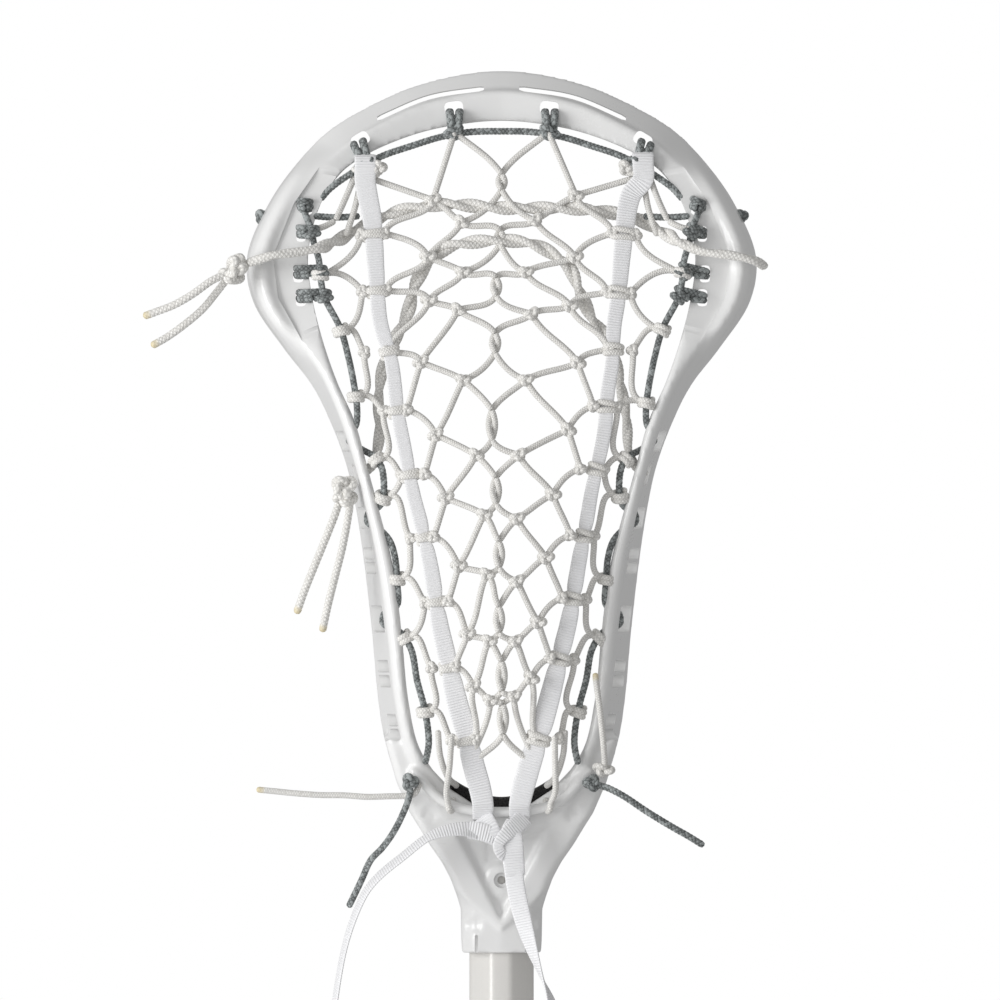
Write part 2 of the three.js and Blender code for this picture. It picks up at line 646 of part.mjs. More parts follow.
const stick = new THREE.Group();
function add(name, geometry, finish) {
  const mesh = new THREE.Mesh(geometry, MATERIALS[finish]());
  mesh.name = name;
  stick.add(mesh);
}

// Shaft and butt cap

const shaftBore = octagonPrism(SHAFT_WIDTH / 2 - SHAFT_WALL, SHAFT_DEPTH / 2 - SHAFT_WALL,
  SHAFT_BACK_FLAT - 1.2, SHAFT_SIDE_FLAT - 1.2, SHAFT_BOTTOM - 1, SHAFT_TOP + 1);
const screwHole = holeThrough(at(0, -13, SCREW_HEIGHT), 1.6, 1.6, 6);
add("shaft", geometryOf(solid(shaftPrism(0, SHAFT_BOTTOM, SHAFT_TOP))
  .subtract(solid(shaftBore)).subtract(solid(screwHole))), "shaft");
add("butt_cap", geometryOf(solid(shaftPrism(GAP + CAP_WALL, -GRIP_HEIGHT, -GRIP_HEIGHT + CAP_LENGTH))
  .subtract(solid(shaftPrism(GAP, SHAFT_BOTTOM - GAP, SHAFT_TOP)))), "rubber");

// Strings that the head holds all the way

const topString = joined([
  solid(cord(topRoute, CORD_WIDTH, 36)),
  ...[-1, 1].flatMap((side) => [
    solid(topLoop(side * 18.4, 325.7, 316, 0.4)),
    solid(topLoop(side * 54.5, 313.4, 303, -7)),
    solid(knot(at(side * 18, -4.5, 317), [4.6, 3.4, 3.6])),
    solid(knot(at(side * 52, -9, 304), [4, 3.2, 3.6])),
  ]),
]);
const sidewallStrings = {
  left: solid(cord(sidewallRoutes.left, CORD_WIDTH, 40)),
  right: solid(cord(sidewallRoutes.right, CORD_WIDTH, 40)),
};
const shooters = {
  upper: solid(cord(UPPER_SHOOTER.map(place), SHOOTER_WIDTH, 36)),
  lower: solid(cord(LOWER_SHOOTER.map(place), SHOOTER_WIDTH, 38)),
};

/** The room that a cord needs, a little wider than the cord. */
const roomFor = (route, width, steps) => solid(cord(route, width * 1.1 + 2.4 * GAP, steps, 6));
const cordRoom = {
  top: joined([roomFor(topRoute, CORD_WIDTH, 36), ...[-1, 1].flatMap((side) => [
    solid(topLoop(side * 18.4, 325.7, 316, 0.4, CORD_WIDTH + 0.6)),
    solid(topLoop(side * 54.5, 313.4, 303, -7, CORD_WIDTH + 0.6)),
    solid(knot(at(side * 18, -4.5, 317), [5, 3.8, 4])),
    solid(knot(at(side * 52, -9, 304), [4.4, 3.6, 4])),
  ])]),
  left: roomFor(sidewallRoutes.left, CORD_WIDTH, 40),
  right: roomFor(sidewallRoutes.right, CORD_WIDTH, 40),
  upper: roomFor(UPPER_SHOOTER.map(place), SHOOTER_WIDTH, 36),
  lower: roomFor(LOWER_SHOOTER.map(place), SHOOTER_WIDTH, 38),
};
const tapeRoom = {
  left: solid(tape(runnerRoutes.left, TAPE_WIDTH + 2 * GAP, TAPE_THICKNESS + 2 * GAP, 30)),
  right: solid(tape(runnerRoutes.right, TAPE_WIDTH + 2 * GAP, TAPE_THICKNESS + 2 * GAP, 30)),
};

add("head_frame", geometryOf(headFrame(Object.values(cordRoom))), "plastic");
add("top_string", geometryOf(topString), "cord");
add("left_sidewall_string", geometryOf(sidewallStrings.left), "cord");
add("right_sidewall_string", geometryOf(sidewallStrings.right), "cord");
add("upper_shooting_string", geometryOf(shooters.upper), "lace");
add("lower_shooting_string", geometryOf(shooters.lower), "lace");
for (const side of ["left", "right"]) {
  const runner = solid(tape(runnerRoutes[side], TAPE_WIDTH, TAPE_THICKNESS, 30));
  add(`${side}_runner`, geometryOf(runner.subtract(cordRoom.top)), "tape");
}

const net = {};
for (const side of [-1, 1]) {
  const name = side < 0 ? "left" : "right";
  const taken = [tapeRoom[name], cordRoom[name], cordRoom.upper, cordRoom.lower, cordRoom.top];
  net[name] = largest(sideLace(side).subtract(joined(taken)));
  add(`${name}_side_lace`, geometryOf(net[name]), "lace");
}
const wrapRoom = joined([-1, 1].flatMap((side) => WRAPS.map((height) => (
  solid(wrapAround(side < 0 ? runnerRoutes.left : runnerRoutes.right, height, 3 * GAP))))));
add("centre_lace", geometryOf(largest(centreLace().subtract(joined([
  tapeRoom.left, tapeRoom.right, cordRoom.upper, cordRoom.lower, cordRoom.top, wrapRoom])))), "lace");
for (const [name, points] of Object.entries(BOTTOM_LACES)) {
  add(name, cord(points.map(place), LACE_WIDTH, 8, 6), "lace");
}
for (const [name, { width, points }] of Object.entries(TAILS)) {
  add(name, cord(points.map(place), width, 11), width === CORD_WIDTH ? "cord" : "lace");
}
for (const [name, { points, turns }] of Object.entries(TAPE_TAILS)) {
  add(name, tape(points.map(place), TAPE_WIDTH, TAPE_THICKNESS, 24, turns), "tape");
}
for (const [name, [centre, halfSizes]] of Object.entries(KNOTS)) {
  add(name, knot(place(centre), halfSizes), name.includes("sidewall") ? "cord" : "lace");
}

// Ball stop and screw

const stop = new THREE.Shape();
stop.moveTo(-21, 64.2);
stop.quadraticCurveTo(-11, 54.6, 0, 54.4);
stop.quadraticCurveTo(11, 54.6, 21, 64.2);
stop.lineTo(19, 68.4);
stop.quadraticCurveTo(10, 60, 0, 59.8);
stop.quadraticCurveTo(-10, 60, -19, 68.4);
stop.closePath();
const foam = new THREE.ExtrudeGeometry(stop, { depth: 26, bevelEnabled: false, curveSegments: 6 });
foam.rotateX(Math.PI / 2);
foam.translate(0, 11, LIP_Z);
add("ball_stop", foam, "foam");

const screwProfile = [[0, 0], [1.3, 0], [1.3, 6.6], [2.5, 6.8], [2.5, 8.4], [1.9, 9], [0, 9]];
const turned = screwProfile.map(([radius, along]) => new THREE.Vector2(radius, along));
const screw = new THREE.LatheGeometry(turned, 16);
screw.rotateX(Math.PI / 2);
screw.translate(0, -8.6, LIP_Z + SCREW_HEIGHT);
add("head_screw", screw, "steel");

export default stick;
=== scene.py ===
import math

import bmesh
import bpy
import numpy as np
from mathutils import Matrix, Vector


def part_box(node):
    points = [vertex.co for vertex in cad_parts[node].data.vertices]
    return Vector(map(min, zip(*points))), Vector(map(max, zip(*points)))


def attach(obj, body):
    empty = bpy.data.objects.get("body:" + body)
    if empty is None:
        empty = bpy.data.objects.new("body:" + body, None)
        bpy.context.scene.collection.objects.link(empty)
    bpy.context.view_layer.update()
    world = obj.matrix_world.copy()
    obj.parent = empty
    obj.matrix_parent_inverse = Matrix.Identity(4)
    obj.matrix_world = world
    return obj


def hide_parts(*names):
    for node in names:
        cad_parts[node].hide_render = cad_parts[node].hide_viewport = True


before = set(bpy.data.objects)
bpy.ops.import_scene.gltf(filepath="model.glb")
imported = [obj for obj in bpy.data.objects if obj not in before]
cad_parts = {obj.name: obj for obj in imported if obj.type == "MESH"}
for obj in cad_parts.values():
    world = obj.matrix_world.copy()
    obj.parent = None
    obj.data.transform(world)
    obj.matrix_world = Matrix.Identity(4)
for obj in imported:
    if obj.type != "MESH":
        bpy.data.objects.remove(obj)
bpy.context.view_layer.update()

bl_info = {
    "name": "Lacrosse stick",
    "version": (1, 0, 0),
    "blender": (4, 5, 0),
    "location": "View3D > Sidebar > Stick",
    "description": "A field lacrosse stick: moulded head, hand-strung pocket and octagonal shaft",
    "category": "Object",
}

# Metres. +Z runs along the shaft towards the scoop and -Y is the back of the head. A point of the
# head is given as (x, y, height), with the height counted from the lip of its socket.

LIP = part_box("head_frame")[0].z
SHAFT_LOW, SHAFT_HIGH = (corner.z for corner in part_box("shaft"))
CAP_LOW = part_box("butt_cap")[0].z
CORD = 0.0026
LACE = 0.0024
STRAND = 0.0030
TAPE = 0.0072
TAPE_THICKNESS = 0.0011
TAPE_RIB = 0.00105  # from one cross rib of a tape to the next
TAPE_STEP = 0.00028  # from one section of a loose tape to the next
RUNNER_STEP = 0.00026
PATH_STEP = 0.0004  # from one point of a smoothed cord to the next
MELTED_END = 0.0034  # how far a white cord's end is sealed by heat
BACK = (0, -1, 0)


def at(x, y, height):
    return np.array([x, y, LIP + height])


# Tables of the head

# Half of the rim, from the tip of the scoop to the middle of the throat: outer x, height; inner x,
# height; how far in the ridge stands; y of the front edge, the ridge and the ledge; thickness of
# the wall and the ledge; and how far the ledge is rounded into a bead.
RIM = [
    (0, 0.3407, 0, 0.3207, 0.007, 0.014, 0.005, 0.002, 0.005, 0.005, 0),
    (0.031, 0.3355, 0.0235, 0.318, 0.007, 0.013, 0.0035, 0.0005, 0.005, 0.005, 0),
    (0.05, 0.3275, 0.039, 0.3135, 0.0075, 0.0115, 0.001, -0.002, 0.005, 0.005, 0),
    (0.0677, 0.3167, 0.053, 0.307, 0.008, 0.01, -0.003, -0.005, 0.005, 0.005, 0),
    (0.0795, 0.304, 0.062, 0.3003, 0.009, 0.0085, -0.008, -0.008, 0.005, 0.005, 0),
    (0.09, 0.2888, 0.0697, 0.2885, 0.01, 0.007, -0.014, -0.0115, 0.005, 0.005, 0),
    (0.0984, 0.268, 0.0745, 0.269, 0.0104, 0.006, -0.019, -0.0145, 0.005, 0.005, 0),
    (0.096, 0.251, 0.0732, 0.254, 0.01, 0.0055, -0.0215, -0.0175, 0.005, 0.005, 0),
    (0.0841, 0.2328, 0.0693, 0.2375, 0.008, 0.005, -0.025, -0.0235, 0.0048, 0.005, 0.3),
    (0.073, 0.218, 0.0633, 0.22, 0.0054, 0.0042, -0.028, -0.028, 0.0046, 0.005, 0.8),
    (0.0657, 0.2033, 0.0564, 0.2045, 0.0046, 0.0035, -0.03, -0.03, 0.0046, 0.005, 1),
    (0.0598, 0.187, 0.0518, 0.188, 0.0036, 0.003, -0.032, -0.032, 0.0045, 0.005, 1),
    (0.0562, 0.17, 0.0472, 0.171, 0.0044, 0.003, -0.033, -0.033, 0.0045, 0.005, 1),
    (0.053, 0.148, 0.0416, 0.1485, 0.0062, 0.003, -0.033, -0.033, 0.0045, 0.005, 1),
    (0.0501, 0.122, 0.0383, 0.1225, 0.0066, 0.004, -0.032, -0.032, 0.0045, 0.005, 1),
    (0.048, 0.0984, 0.036, 0.0986, 0.007, 0.006, -0.03, -0.03, 0.0048, 0.005, 1),
    (0.0454, 0.082, 0.0322, 0.0805, 0.008, 0.008, -0.028, -0.028, 0.0055, 0.005, 1),
    (0.0395, 0.0638, 0.0275, 0.072, 0.008, 0.0105, -0.026, -0.026, 0.009, 0.006, 0.6),
    (0.027, 0.044, 0.0195, 0.0625, 0.009, 0.013, -0.023, -0.023, 0.02, 0.008, 0),
    (0.014, 0.037, 0.01, 0.0558, 0.009, 0.014, -0.022, -0.022, 0.02, 0.008, 0),
    (0, 0.035, 0, 0.054, 0.009, 0.014, -0.022, -0.022, 0.02, 0.008, 0),
]
# Throat: height, half width, front, back
THROAT = [
    (0, 0.0152, 0.017, -0.017),
    (0.005, 0.0155, 0.0172, -0.0174),
    (0.017, 0.0157, 0.0172, -0.0182),
    (0.022, 0.0172, 0.017, -0.0188),
    (0.0288, 0.0197, 0.0168, -0.0194),
    (0.035, 0.023, 0.0164, -0.02),
    (0.042, 0.0279, 0.0154, -0.021),
    (0.048, 0.0315, 0.0145, -0.022),
    (0.054, 0.0353, 0.014, -0.023),
    (0.066, 0.0405, 0.012, -0.025),
    (0.084, 0.0455, 0.009, -0.027),
]
# Height of the throat's inner edge at a share of the half width
THROAT_EDGE = [(0, 0.054), (0.26, 0.0562), (0.5, 0.063), (0.68, 0.0725), (0.82, 0.0800), (1, 0.084)]

# Holes for the cords in the ledge: x, height, half width, half height, turn
LEDGE_HOLES = [
    (0.0184, 0.3257, 0.0036, 0.0026, -0.12), (0.0545, 0.3134, 0.0036, 0.0026, -0.55),
    (0.0753, 0.2873, 0.0018, 0.0032, -0.3),
    (0.0773, 0.2769, 0.0018, 0.003, 0), (0.0783, 0.2615, 0.002, 0.0033, 0),
    (0.0773, 0.2523, 0.002, 0.0033, 0),
]
# Windows in the sidewall, seen from the side: height, y, half depth, half height
WALL_HOLES = [
    (0.197, -0.0145, 0.0105, 0.004), (0.184, -0.022, 0.005, 0.004),
    (0.1675, -0.0165, 0.011, 0.0042), (0.1538, -0.014, 0.011, 0.0023),
    (0.1482, -0.014, 0.011, 0.0023), (0.1286, -0.0145, 0.011, 0.0052),
    (0.1104, -0.014, 0.0105, 0.0024), (0.1046, -0.014, 0.0105, 0.0024),
    (0.0896, -0.0165, 0.008, 0.0024), (0.0839, -0.0165, 0.008, 0.0024),
]
SCREW_HEIGHT = 0.028

# The pocket's surface: height, y at the sidewall strings, y on the centre line, half width
POCKET = [
    (0.052, -0.0305, -0.0305, 0.024), (0.075, -0.029, -0.0355, 0.028),
    (0.1, -0.029, -0.045, 0.031), (0.13, -0.0305, -0.051, 0.0375),
    (0.16, -0.031, -0.051, 0.042), (0.19, -0.03, -0.044, 0.047), (0.22, -0.026, -0.033, 0.056),
    (0.25, -0.019, -0.022, 0.067),
    (0.275, -0.013, -0.014, 0.071), (0.3, -0.007, -0.007, 0.066), (0.325, -0.002, -0.002, 0.06),
]

# Routes of the cords and tapes

TOP_STRING = [
    (-0.07, -0.01, 0.29), (-0.066, -0.0095, 0.2945), (-0.056, -0.008, 0.3015),
    (-0.046, -0.006, 0.307), (-0.035, -0.0045, 0.3108),
    (-0.023, -0.003, 0.3145), (-0.012, -0.0022, 0.3163), (0, -0.002, 0.3166),
]
SIDEWALL_STRING = [
    (-0.076, -0.009, 0.2865), (-0.0754, -0.0135, 0.284), (-0.0734, -0.0166, 0.279),
    (-0.0723, -0.0174, 0.2735), (-0.0704, -0.0188, 0.267),
    (-0.0694, -0.02, 0.258), (-0.0682, -0.0208, 0.2525), (-0.0622, -0.023, 0.2408),
    (-0.0592, -0.0248, 0.2305), (-0.0568, -0.0266, 0.219),
    (-0.0556, -0.028, 0.21), (-0.0558, -0.0282, 0.204), (-0.058, -0.0225, 0.2),
    (-0.0586, -0.02, 0.197), (-0.054, -0.024, 0.194),
    (-0.0484, -0.0298, 0.1906), (-0.046, -0.0308, 0.1865), (-0.0453, -0.031, 0.177),
    (-0.0466, -0.029, 0.1725),
    (-0.0514, -0.0215, 0.169), (-0.0516, -0.0215, 0.166), (-0.0474, -0.0292, 0.1636),
    (-0.043, -0.031, 0.1587), (-0.0409, -0.031, 0.152),
    (-0.0402, -0.0308, 0.143), (-0.04, -0.03, 0.1345), (-0.0454, -0.022, 0.1302),
    (-0.0456, -0.022, 0.127), (-0.039, -0.029, 0.1235),
    (-0.0348, -0.0296, 0.117), (-0.0325, -0.029, 0.105), (-0.0295, -0.0286, 0.0935),
    (-0.028, -0.0286, 0.081), (-0.0295, -0.029, 0.0725),
]
LEFT_RUNNER = [
    (-0.0525, 0.301), (-0.0498, 0.282), (-0.0483, 0.263), (-0.0468, 0.2437), (-0.0423, 0.2275),
    (-0.0398, 0.207),
    (-0.0372, 0.194), (-0.0337, 0.176), (-0.031, 0.1656), (-0.0271, 0.148), (-0.0241, 0.1286),
    (-0.0206, 0.1128),
    (-0.0175, 0.0986), (-0.0137, 0.085), (-0.011, 0.0735), (-0.0082, 0.063), (-0.0072, 0.0575),
]
RIGHT_RUNNER = [
    (0.0545, 0.302), (0.0499, 0.2918), (0.047, 0.274), (0.0449, 0.2522), (0.0433, 0.2414),
    (0.0425, 0.2264), (0.041, 0.2168),
    (0.0395, 0.2006), (0.0374, 0.1898), (0.0348, 0.1786), (0.0329, 0.1675), (0.0298, 0.151),
    (0.026, 0.1286),
    (0.0229, 0.1159), (0.0171, 0.0932), (0.012, 0.0762), (0.0082, 0.063), (0.007, 0.0575),
]
UPPER_SHOOTER = [
    (-0.098, -0.0245, 0.2655), (-0.088, -0.026, 0.2685), (-0.077, -0.024, 0.27),
    (-0.07, -0.0215, 0.2715), (-0.0635, -0.013, 0.274),
    (-0.058, -0.007, 0.2775), (-0.05, -0.0075, 0.2815), (-0.041, -0.009, 0.2853),
    (-0.031, -0.009, 0.2873), (-0.022, -0.009, 0.2883),
    (0, -0.009, 0.287), (0.022, -0.009, 0.2868), (0.033, -0.009, 0.2864), (0.043, -0.0075, 0.285),
    (0.051, -0.0063, 0.2832), (0.058, -0.008, 0.28),
    (0.064, -0.013, 0.2765), (0.07, -0.0215, 0.273), (0.077, -0.024, 0.27),
    (0.088, -0.026, 0.2686), (0.0975, -0.0245, 0.2665),
    (0.1016, -0.019, 0.264),
]
LOWER_SHOOTER = [
    (-0.055, -0.024, 0.184), (-0.05, -0.0245, 0.1875), (-0.0472, -0.019, 0.198),
    (-0.0474, -0.016, 0.213), (-0.046, -0.0145, 0.224),
    (-0.0435, -0.015, 0.232), (-0.0395, -0.0155, 0.2395), (-0.036, -0.0155, 0.247),
    (-0.033, -0.014, 0.258), (-0.0275, -0.013, 0.2665),
    (-0.02, -0.0135, 0.272), (-0.012, -0.014, 0.2736), (0, -0.014, 0.2744), (0.012, -0.014, 0.273),
    (0.02, -0.0135, 0.269),
    (0.026, -0.0135, 0.264), (0.03, -0.0145, 0.255), (0.035, -0.0155, 0.244),
    (0.0405, -0.0155, 0.2365), (0.0435, -0.0155, 0.228),
    (0.0466, -0.016, 0.215), (0.0483, -0.018, 0.204), (0.049, -0.023, 0.193),
    (0.052, -0.025, 0.187), (0.056, -0.024, 0.184),
]
# Width of a runner: height, width
TAPE_WIDTHS = [
    (0.04, 0.0076), (0.053, 0.008), (0.065, 0.0086), (0.08, 0.0084), (0.098, 0.008),
    (0.112, 0.0072), (0.128, 0.0066), (0.148, 0.006), (0.165, 0.0056),
    (0.185, 0.0052), (0.207, 0.0056), (0.227, 0.0054), (0.243, 0.0058), (0.263, 0.0064),
    (0.282, 0.0075), (0.301, 0.0083),
]
THROAT_RAIL = [
    (-0.0345, -0.025, 0.071), (-0.0292, -0.0264, 0.0648), (-0.0226, -0.0266, 0.0586),
    (-0.0123, -0.0266, 0.0552),
    (0, -0.0266, 0.0544), (0.0123, -0.0266, 0.0552), (0.0226, -0.0266, 0.0586),
    (0.0292, -0.0264, 0.0648), (0.0345, -0.025, 0.071),
]
BOTTOM_LACES = {
    "left_bottom_lace": [
        (-0.0192, -0.042, 0.084), (-0.02, -0.0385, 0.072), (-0.0212, -0.0345, 0.062),
        (-0.0208, -0.031, 0.0535),
    ],
    "right_bottom_lace": [
        (0.0204, -0.042, 0.084), (0.0206, -0.0385, 0.072), (0.0206, -0.0345, 0.062),
        (0.0192, -0.031, 0.0535),
    ],
}

# The free tails, from the knot that holds each one to its cut end
TAILS = {
    "upper_shooter_tail_a": [
        (-0.107, -0.025, 0.261), (-0.112, -0.026, 0.2585), (-0.119, -0.026, 0.2535),
        (-0.126, -0.025, 0.2495),
        (-0.1325, -0.024, 0.247), (-0.138, -0.023, 0.245),
    ],
    "upper_shooter_tail_b": [
        (-0.1065, -0.021, 0.2584), (-0.11, -0.02, 0.254), (-0.115, -0.019, 0.248),
        (-0.122, -0.0185, 0.242),
        (-0.129, -0.018, 0.237), (-0.135, -0.018, 0.2336),
    ],
    "lower_shooter_tail_a": [
        (-0.0625, -0.026, 0.1735), (-0.064, -0.0275, 0.169), (-0.0675, -0.028, 0.16),
        (-0.072, -0.027, 0.149),
        (-0.076, -0.025, 0.139), (-0.079, -0.023, 0.1305),
    ],
    "lower_shooter_tail_b": [
        (-0.0585, -0.029, 0.1728), (-0.059, -0.0315, 0.168), (-0.061, -0.0325, 0.157),
        (-0.064, -0.031, 0.145),
        (-0.067, -0.0285, 0.133), (-0.069, -0.026, 0.1235),
    ],
    "left_sidewall_tail": [
        (-0.0352, -0.0308, 0.0622), (-0.0362, -0.0315, 0.058), (-0.041, -0.0318, 0.0476),
        (-0.0458, -0.03, 0.0407),
        (-0.0503, -0.028, 0.0359), (-0.054, -0.026, 0.0279), (-0.059, -0.024, 0.0175),
    ],
    "right_sidewall_tail": [
        (0.0384, -0.0313, 0.0644), (0.041, -0.032, 0.0636), (0.047, -0.0325, 0.0605),
        (0.056, -0.032, 0.0545), (0.065, -0.0305, 0.049),
        (0.072, -0.029, 0.045), (0.078, -0.0275, 0.0413),
    ],
    "bottom_lace_tail": [
        (-0.0315, -0.0275, 0.0655), (-0.0334, -0.0295, 0.0615), (-0.0375, -0.0276, 0.0606),
        (-0.044, -0.0275, 0.0604), (-0.052, -0.027, 0.0602), (-0.061, -0.0265, 0.0608),
        (-0.07, -0.026, 0.0609), (-0.08, -0.0255, 0.0616), (-0.088, -0.025, 0.0624),
        (-0.0944, -0.0245, 0.063),
    ],
    "bottom_knot_tail": [
        (0.0396, -0.0336, 0.0735), (0.0394, -0.0355, 0.0775), (0.0386, -0.037, 0.086),
        (0.0376, -0.037, 0.095),
        (0.0364, -0.036, 0.104), (0.036, -0.035, 0.108),
    ],
}
TAPE_TAILS = {
    "left_runner_tail": [
        (-0.0098, -0.0314, 0.0472), (-0.016, -0.033, 0.0479), (-0.027, -0.034, 0.0454),
        (-0.038, -0.034, 0.0373),
        (-0.0477, -0.033, 0.0292), (-0.0528, -0.032, 0.0226), (-0.0595, -0.031, 0.0056),
        (-0.064, -0.03, -0.018), (-0.066, -0.029, -0.038),
        (-0.0665, -0.028, -0.058), (-0.066, -0.027, -0.08), (-0.065, -0.026, -0.1),
    ],
    "right_runner_tail": [
        (0.0036, -0.0324, 0.0386), (0.0044, -0.033, 0.034), (0.0054, -0.0335, 0.026),
        (0.008, -0.033, 0.014), (0.0115, -0.032, 0.002),
        (0.015, -0.031, -0.008), (0.0189, -0.03, -0.018), (0.022, -0.029, -0.032),
        (0.024, -0.028, -0.05), (0.025, -0.027, -0.07),
        (0.025, -0.026, -0.09), (0.0245, -0.025, -0.108),
    ],
}
# How far each tape tail's broad side is turned from the back, in degrees, evenly along it
TAPE_TURNS = {
    "left_runner_tail": [34, 67, 68, 72, 75, 75, 70, 60, 50, 40],
    "right_runner_tail": [0, 20, 85, 160, 185, 190, 190],
}

# The net's ties, as (x, height) on the pocket, from the scoop down
RUNNER_TIES = {
    -1: [
        (-0.0493, 0.2768), (-0.0487, 0.2549), (-0.0479, 0.2314), (-0.0406, 0.2087),
        (-0.0337, 0.184),
        (-0.0302, 0.1598), (-0.0246, 0.1351), (-0.0221, 0.1101), (-0.0144, 0.0822),
    ],
    1: [
        (0.047, 0.2768), (0.0449, 0.2541), (0.0456, 0.2322), (0.0395, 0.2102), (0.0345, 0.186),
        (0.0306, 0.1605),
        (0.0275, 0.1363), (0.0229, 0.1132), (0.0171, 0.0828),
    ],
}
OUTER_KNOTS = {
    -1: [
        (-0.0264, 0.29), (-0.0283, 0.268), (-0.0279, 0.2512), (-0.031, 0.2275), (-0.0252, 0.1994),
        (-0.0214, 0.1752),
        (-0.0164, 0.149), (-0.0131, 0.1228), (-0.0108, 0.1028),
    ],
    1: [
        (0.0286, 0.2918), (0.0283, 0.268), (0.0264, 0.2491), (0.0293, 0.2272), (0.0256, 0.2014),
        (0.0198, 0.1765),
        (0.0171, 0.1522), (0.0141, 0.1274), (0.0114, 0.1059),
    ],
}
INNER_KNOTS = {
    -1: [
        (-0.0154, 0.2814), (-0.0148, 0.2622), (-0.0167, 0.2476), (-0.0148, 0.2206),
        (-0.0098, 0.1917),
        (-0.0067, 0.1688), (-0.0056, 0.1459), (-0.0048, 0.1203), (-0.0043, 0.0974),
    ],
    1: [
        (0.0131, 0.2822), (0.0094, 0.2622), (0.0116, 0.246), (0.0094, 0.2206), (0.0067, 0.1917),
        (0.006, 0.1673),
        (0.006, 0.1432), (0.0054, 0.1203), (0.0047, 0.0991),
    ],
}
# Heights of the laces' loops round the sidewall strings
STRING_LOOPS = {
    -1: [0.261, 0.2395, 0.214, 0.19, 0.1754, 0.144, 0.1214, 0.0929],
    1: [0.2618, 0.2399, 0.2118, 0.19, 0.1758, 0.144, 0.1216, 0.0929],
}
# Where the two middle laces are wound round each other: x, upper height, lower height
CENTRE_TWISTS = [
    (0, 0.3, 0.294), (-0.0006, 0.278, 0.273), (-0.0021, 0.26, 0.253), (-0.0025, 0.2385, 0.231),
    (-0.0037, 0.209, 0.1975),
    (-0.0022, 0.183, 0.173), (-0.001, 0.1585, 0.1485), (-0.001, 0.1335, 0.1235),
    (0, 0.1125, 0.101), (0.0005, 0.096, 0.0845),
]
# The bands that the runners' knots are folded from: widths along each, and its route
RUNNER_FOLDS = {
    "left_runner_knot": [
        ([0.0072, 0.0066, 0.006], [
            (-0.007, -0.0294, 0.0526), (-0.0056, -0.0314, 0.0504), (-0.004, -0.0324, 0.0476),
            (-0.0036, -0.032, 0.0444),
            (-0.0044, -0.0306, 0.0422),
        ]),
        ([0.0064, 0.0068, 0.007], [
            (0.001, -0.0306, 0.0446), (-0.0025, -0.032, 0.0454), (-0.007, -0.0326, 0.0466),
            (-0.0125, -0.0324, 0.0476),
        ]),
    ],
    "right_runner_knot": [
        ([0.0074, 0.007, 0.0058, 0.0044, 0.0042, 0.005], [
            (0.009, -0.0292, 0.0524), (0.0054, -0.0326, 0.049), (0.0014, -0.0348, 0.0456),
            (-0.0012, -0.0352, 0.0416),
            (0.0002, -0.0344, 0.0382), (0.0034, -0.0326, 0.0368),
        ]),
        ([0.007, 0.0086, 0.0084, 0.0078], [
            (0.0052, -0.03, 0.0506), (0.0038, -0.0332, 0.0464), (0.0042, -0.0342, 0.041),
            (0.0046, -0.0336, 0.036), (0.0052, -0.0334, 0.03),
        ]),
    ],
}


# Sizes and colours that a user would change

def length(name, text, value):
    return bpy.props.FloatProperty(name=name, description=text, default=value, min=0, unit="LENGTH",
                                   precision=5)


def colour(name, text, value):
    return bpy.props.FloatVectorProperty(name=name, description=text, default=value, size=3,
                                         subtype="COLOR", min=0, max=1)


class StickSizes(bpy.types.PropertyGroup):
    """Sizes of the cords, laces and tapes."""
    cord: length("Cord", "Width of the braided top and sidewall strings", CORD)
    lace: length("Lace", "Width of the pocket's laces", LACE)
    strand: length("Strand", "Width of one strand of a shooting string", STRAND)
    twist: length("Twist", "Length of one full turn of a shooting string's two strands", 0.027)
    tape: length("Tape", "Width of the runners", TAPE)
    voxel: length("Shell grain", "Size of the head's mesh before its holes are cut", 0.00093)


class StickColours(bpy.types.PropertyGroup):
    """Colours of the plastic, the paint and the cords."""
    plastic: colour("Plastic", "The moulded head", (0.87, 0.87, 0.865))
    paint: colour("Paint", "The shaft", (0.78, 0.765, 0.735))
    grey: colour("Grey cord", "Top and sidewall strings", (0.13, 0.14, 0.14))
    white: colour("White cord", "Laces and shooting strings", (0.97, 0.955, 0.92))
    tape: colour("Tape", "Runners", (0.94, 0.94, 0.955))
    melted: colour("Melted end", "Ends sealed by heat", (0.72, 0.62, 0.38))


def sizes():
    return bpy.context.scene.stick_sizes


def colours():
    return bpy.context.scene.stick_colours


# Nodes written as sums

class Value:
    """One output of a node. Sums on it add Math nodes to its tree."""

    def __init__(self, nodes, socket):
        self.nodes = nodes
        self.socket = socket

    def of(self, output):
        return Value(self.nodes, self.socket.node.outputs[output])

    def math(self, operation, *others):
        inputs = dict(enumerate([self, *others]))
        return self.nodes.add("ShaderNodeMath", {"operation": operation}, inputs)

    def reflected(self, operation, other):
        return self.nodes.add("ShaderNodeMath", {"operation": operation}, {0: other, 1: self})

    def __add__(self, other):
        return self.math("ADD", other)

    def __radd__(self, other):
        return self.reflected("ADD", other)

    def __sub__(self, other):
        return self.math("SUBTRACT", other)

    def __rsub__(self, other):
        return self.reflected("SUBTRACT", other)

    def __mul__(self, other):
        return self.math("MULTIPLY", other)

    def __rmul__(self, other):
        return self.reflected("MULTIPLY", other)

    def __truediv__(self, other):
        return self.math("DIVIDE", other)

    def __rtruediv__(self, other):
        return self.reflected("DIVIDE", other)

    def __pow__(self, other):
        return self.math("POWER", other)

    def __abs__(self):
        return self.math("ABSOLUTE")

    def sin(self):
        return self.math("SINE")

    def floor(self):
        return self.math("FLOOR")

    def clamped(self):
        return self.nodes.add("ShaderNodeClamp", {}, {"Value": self})


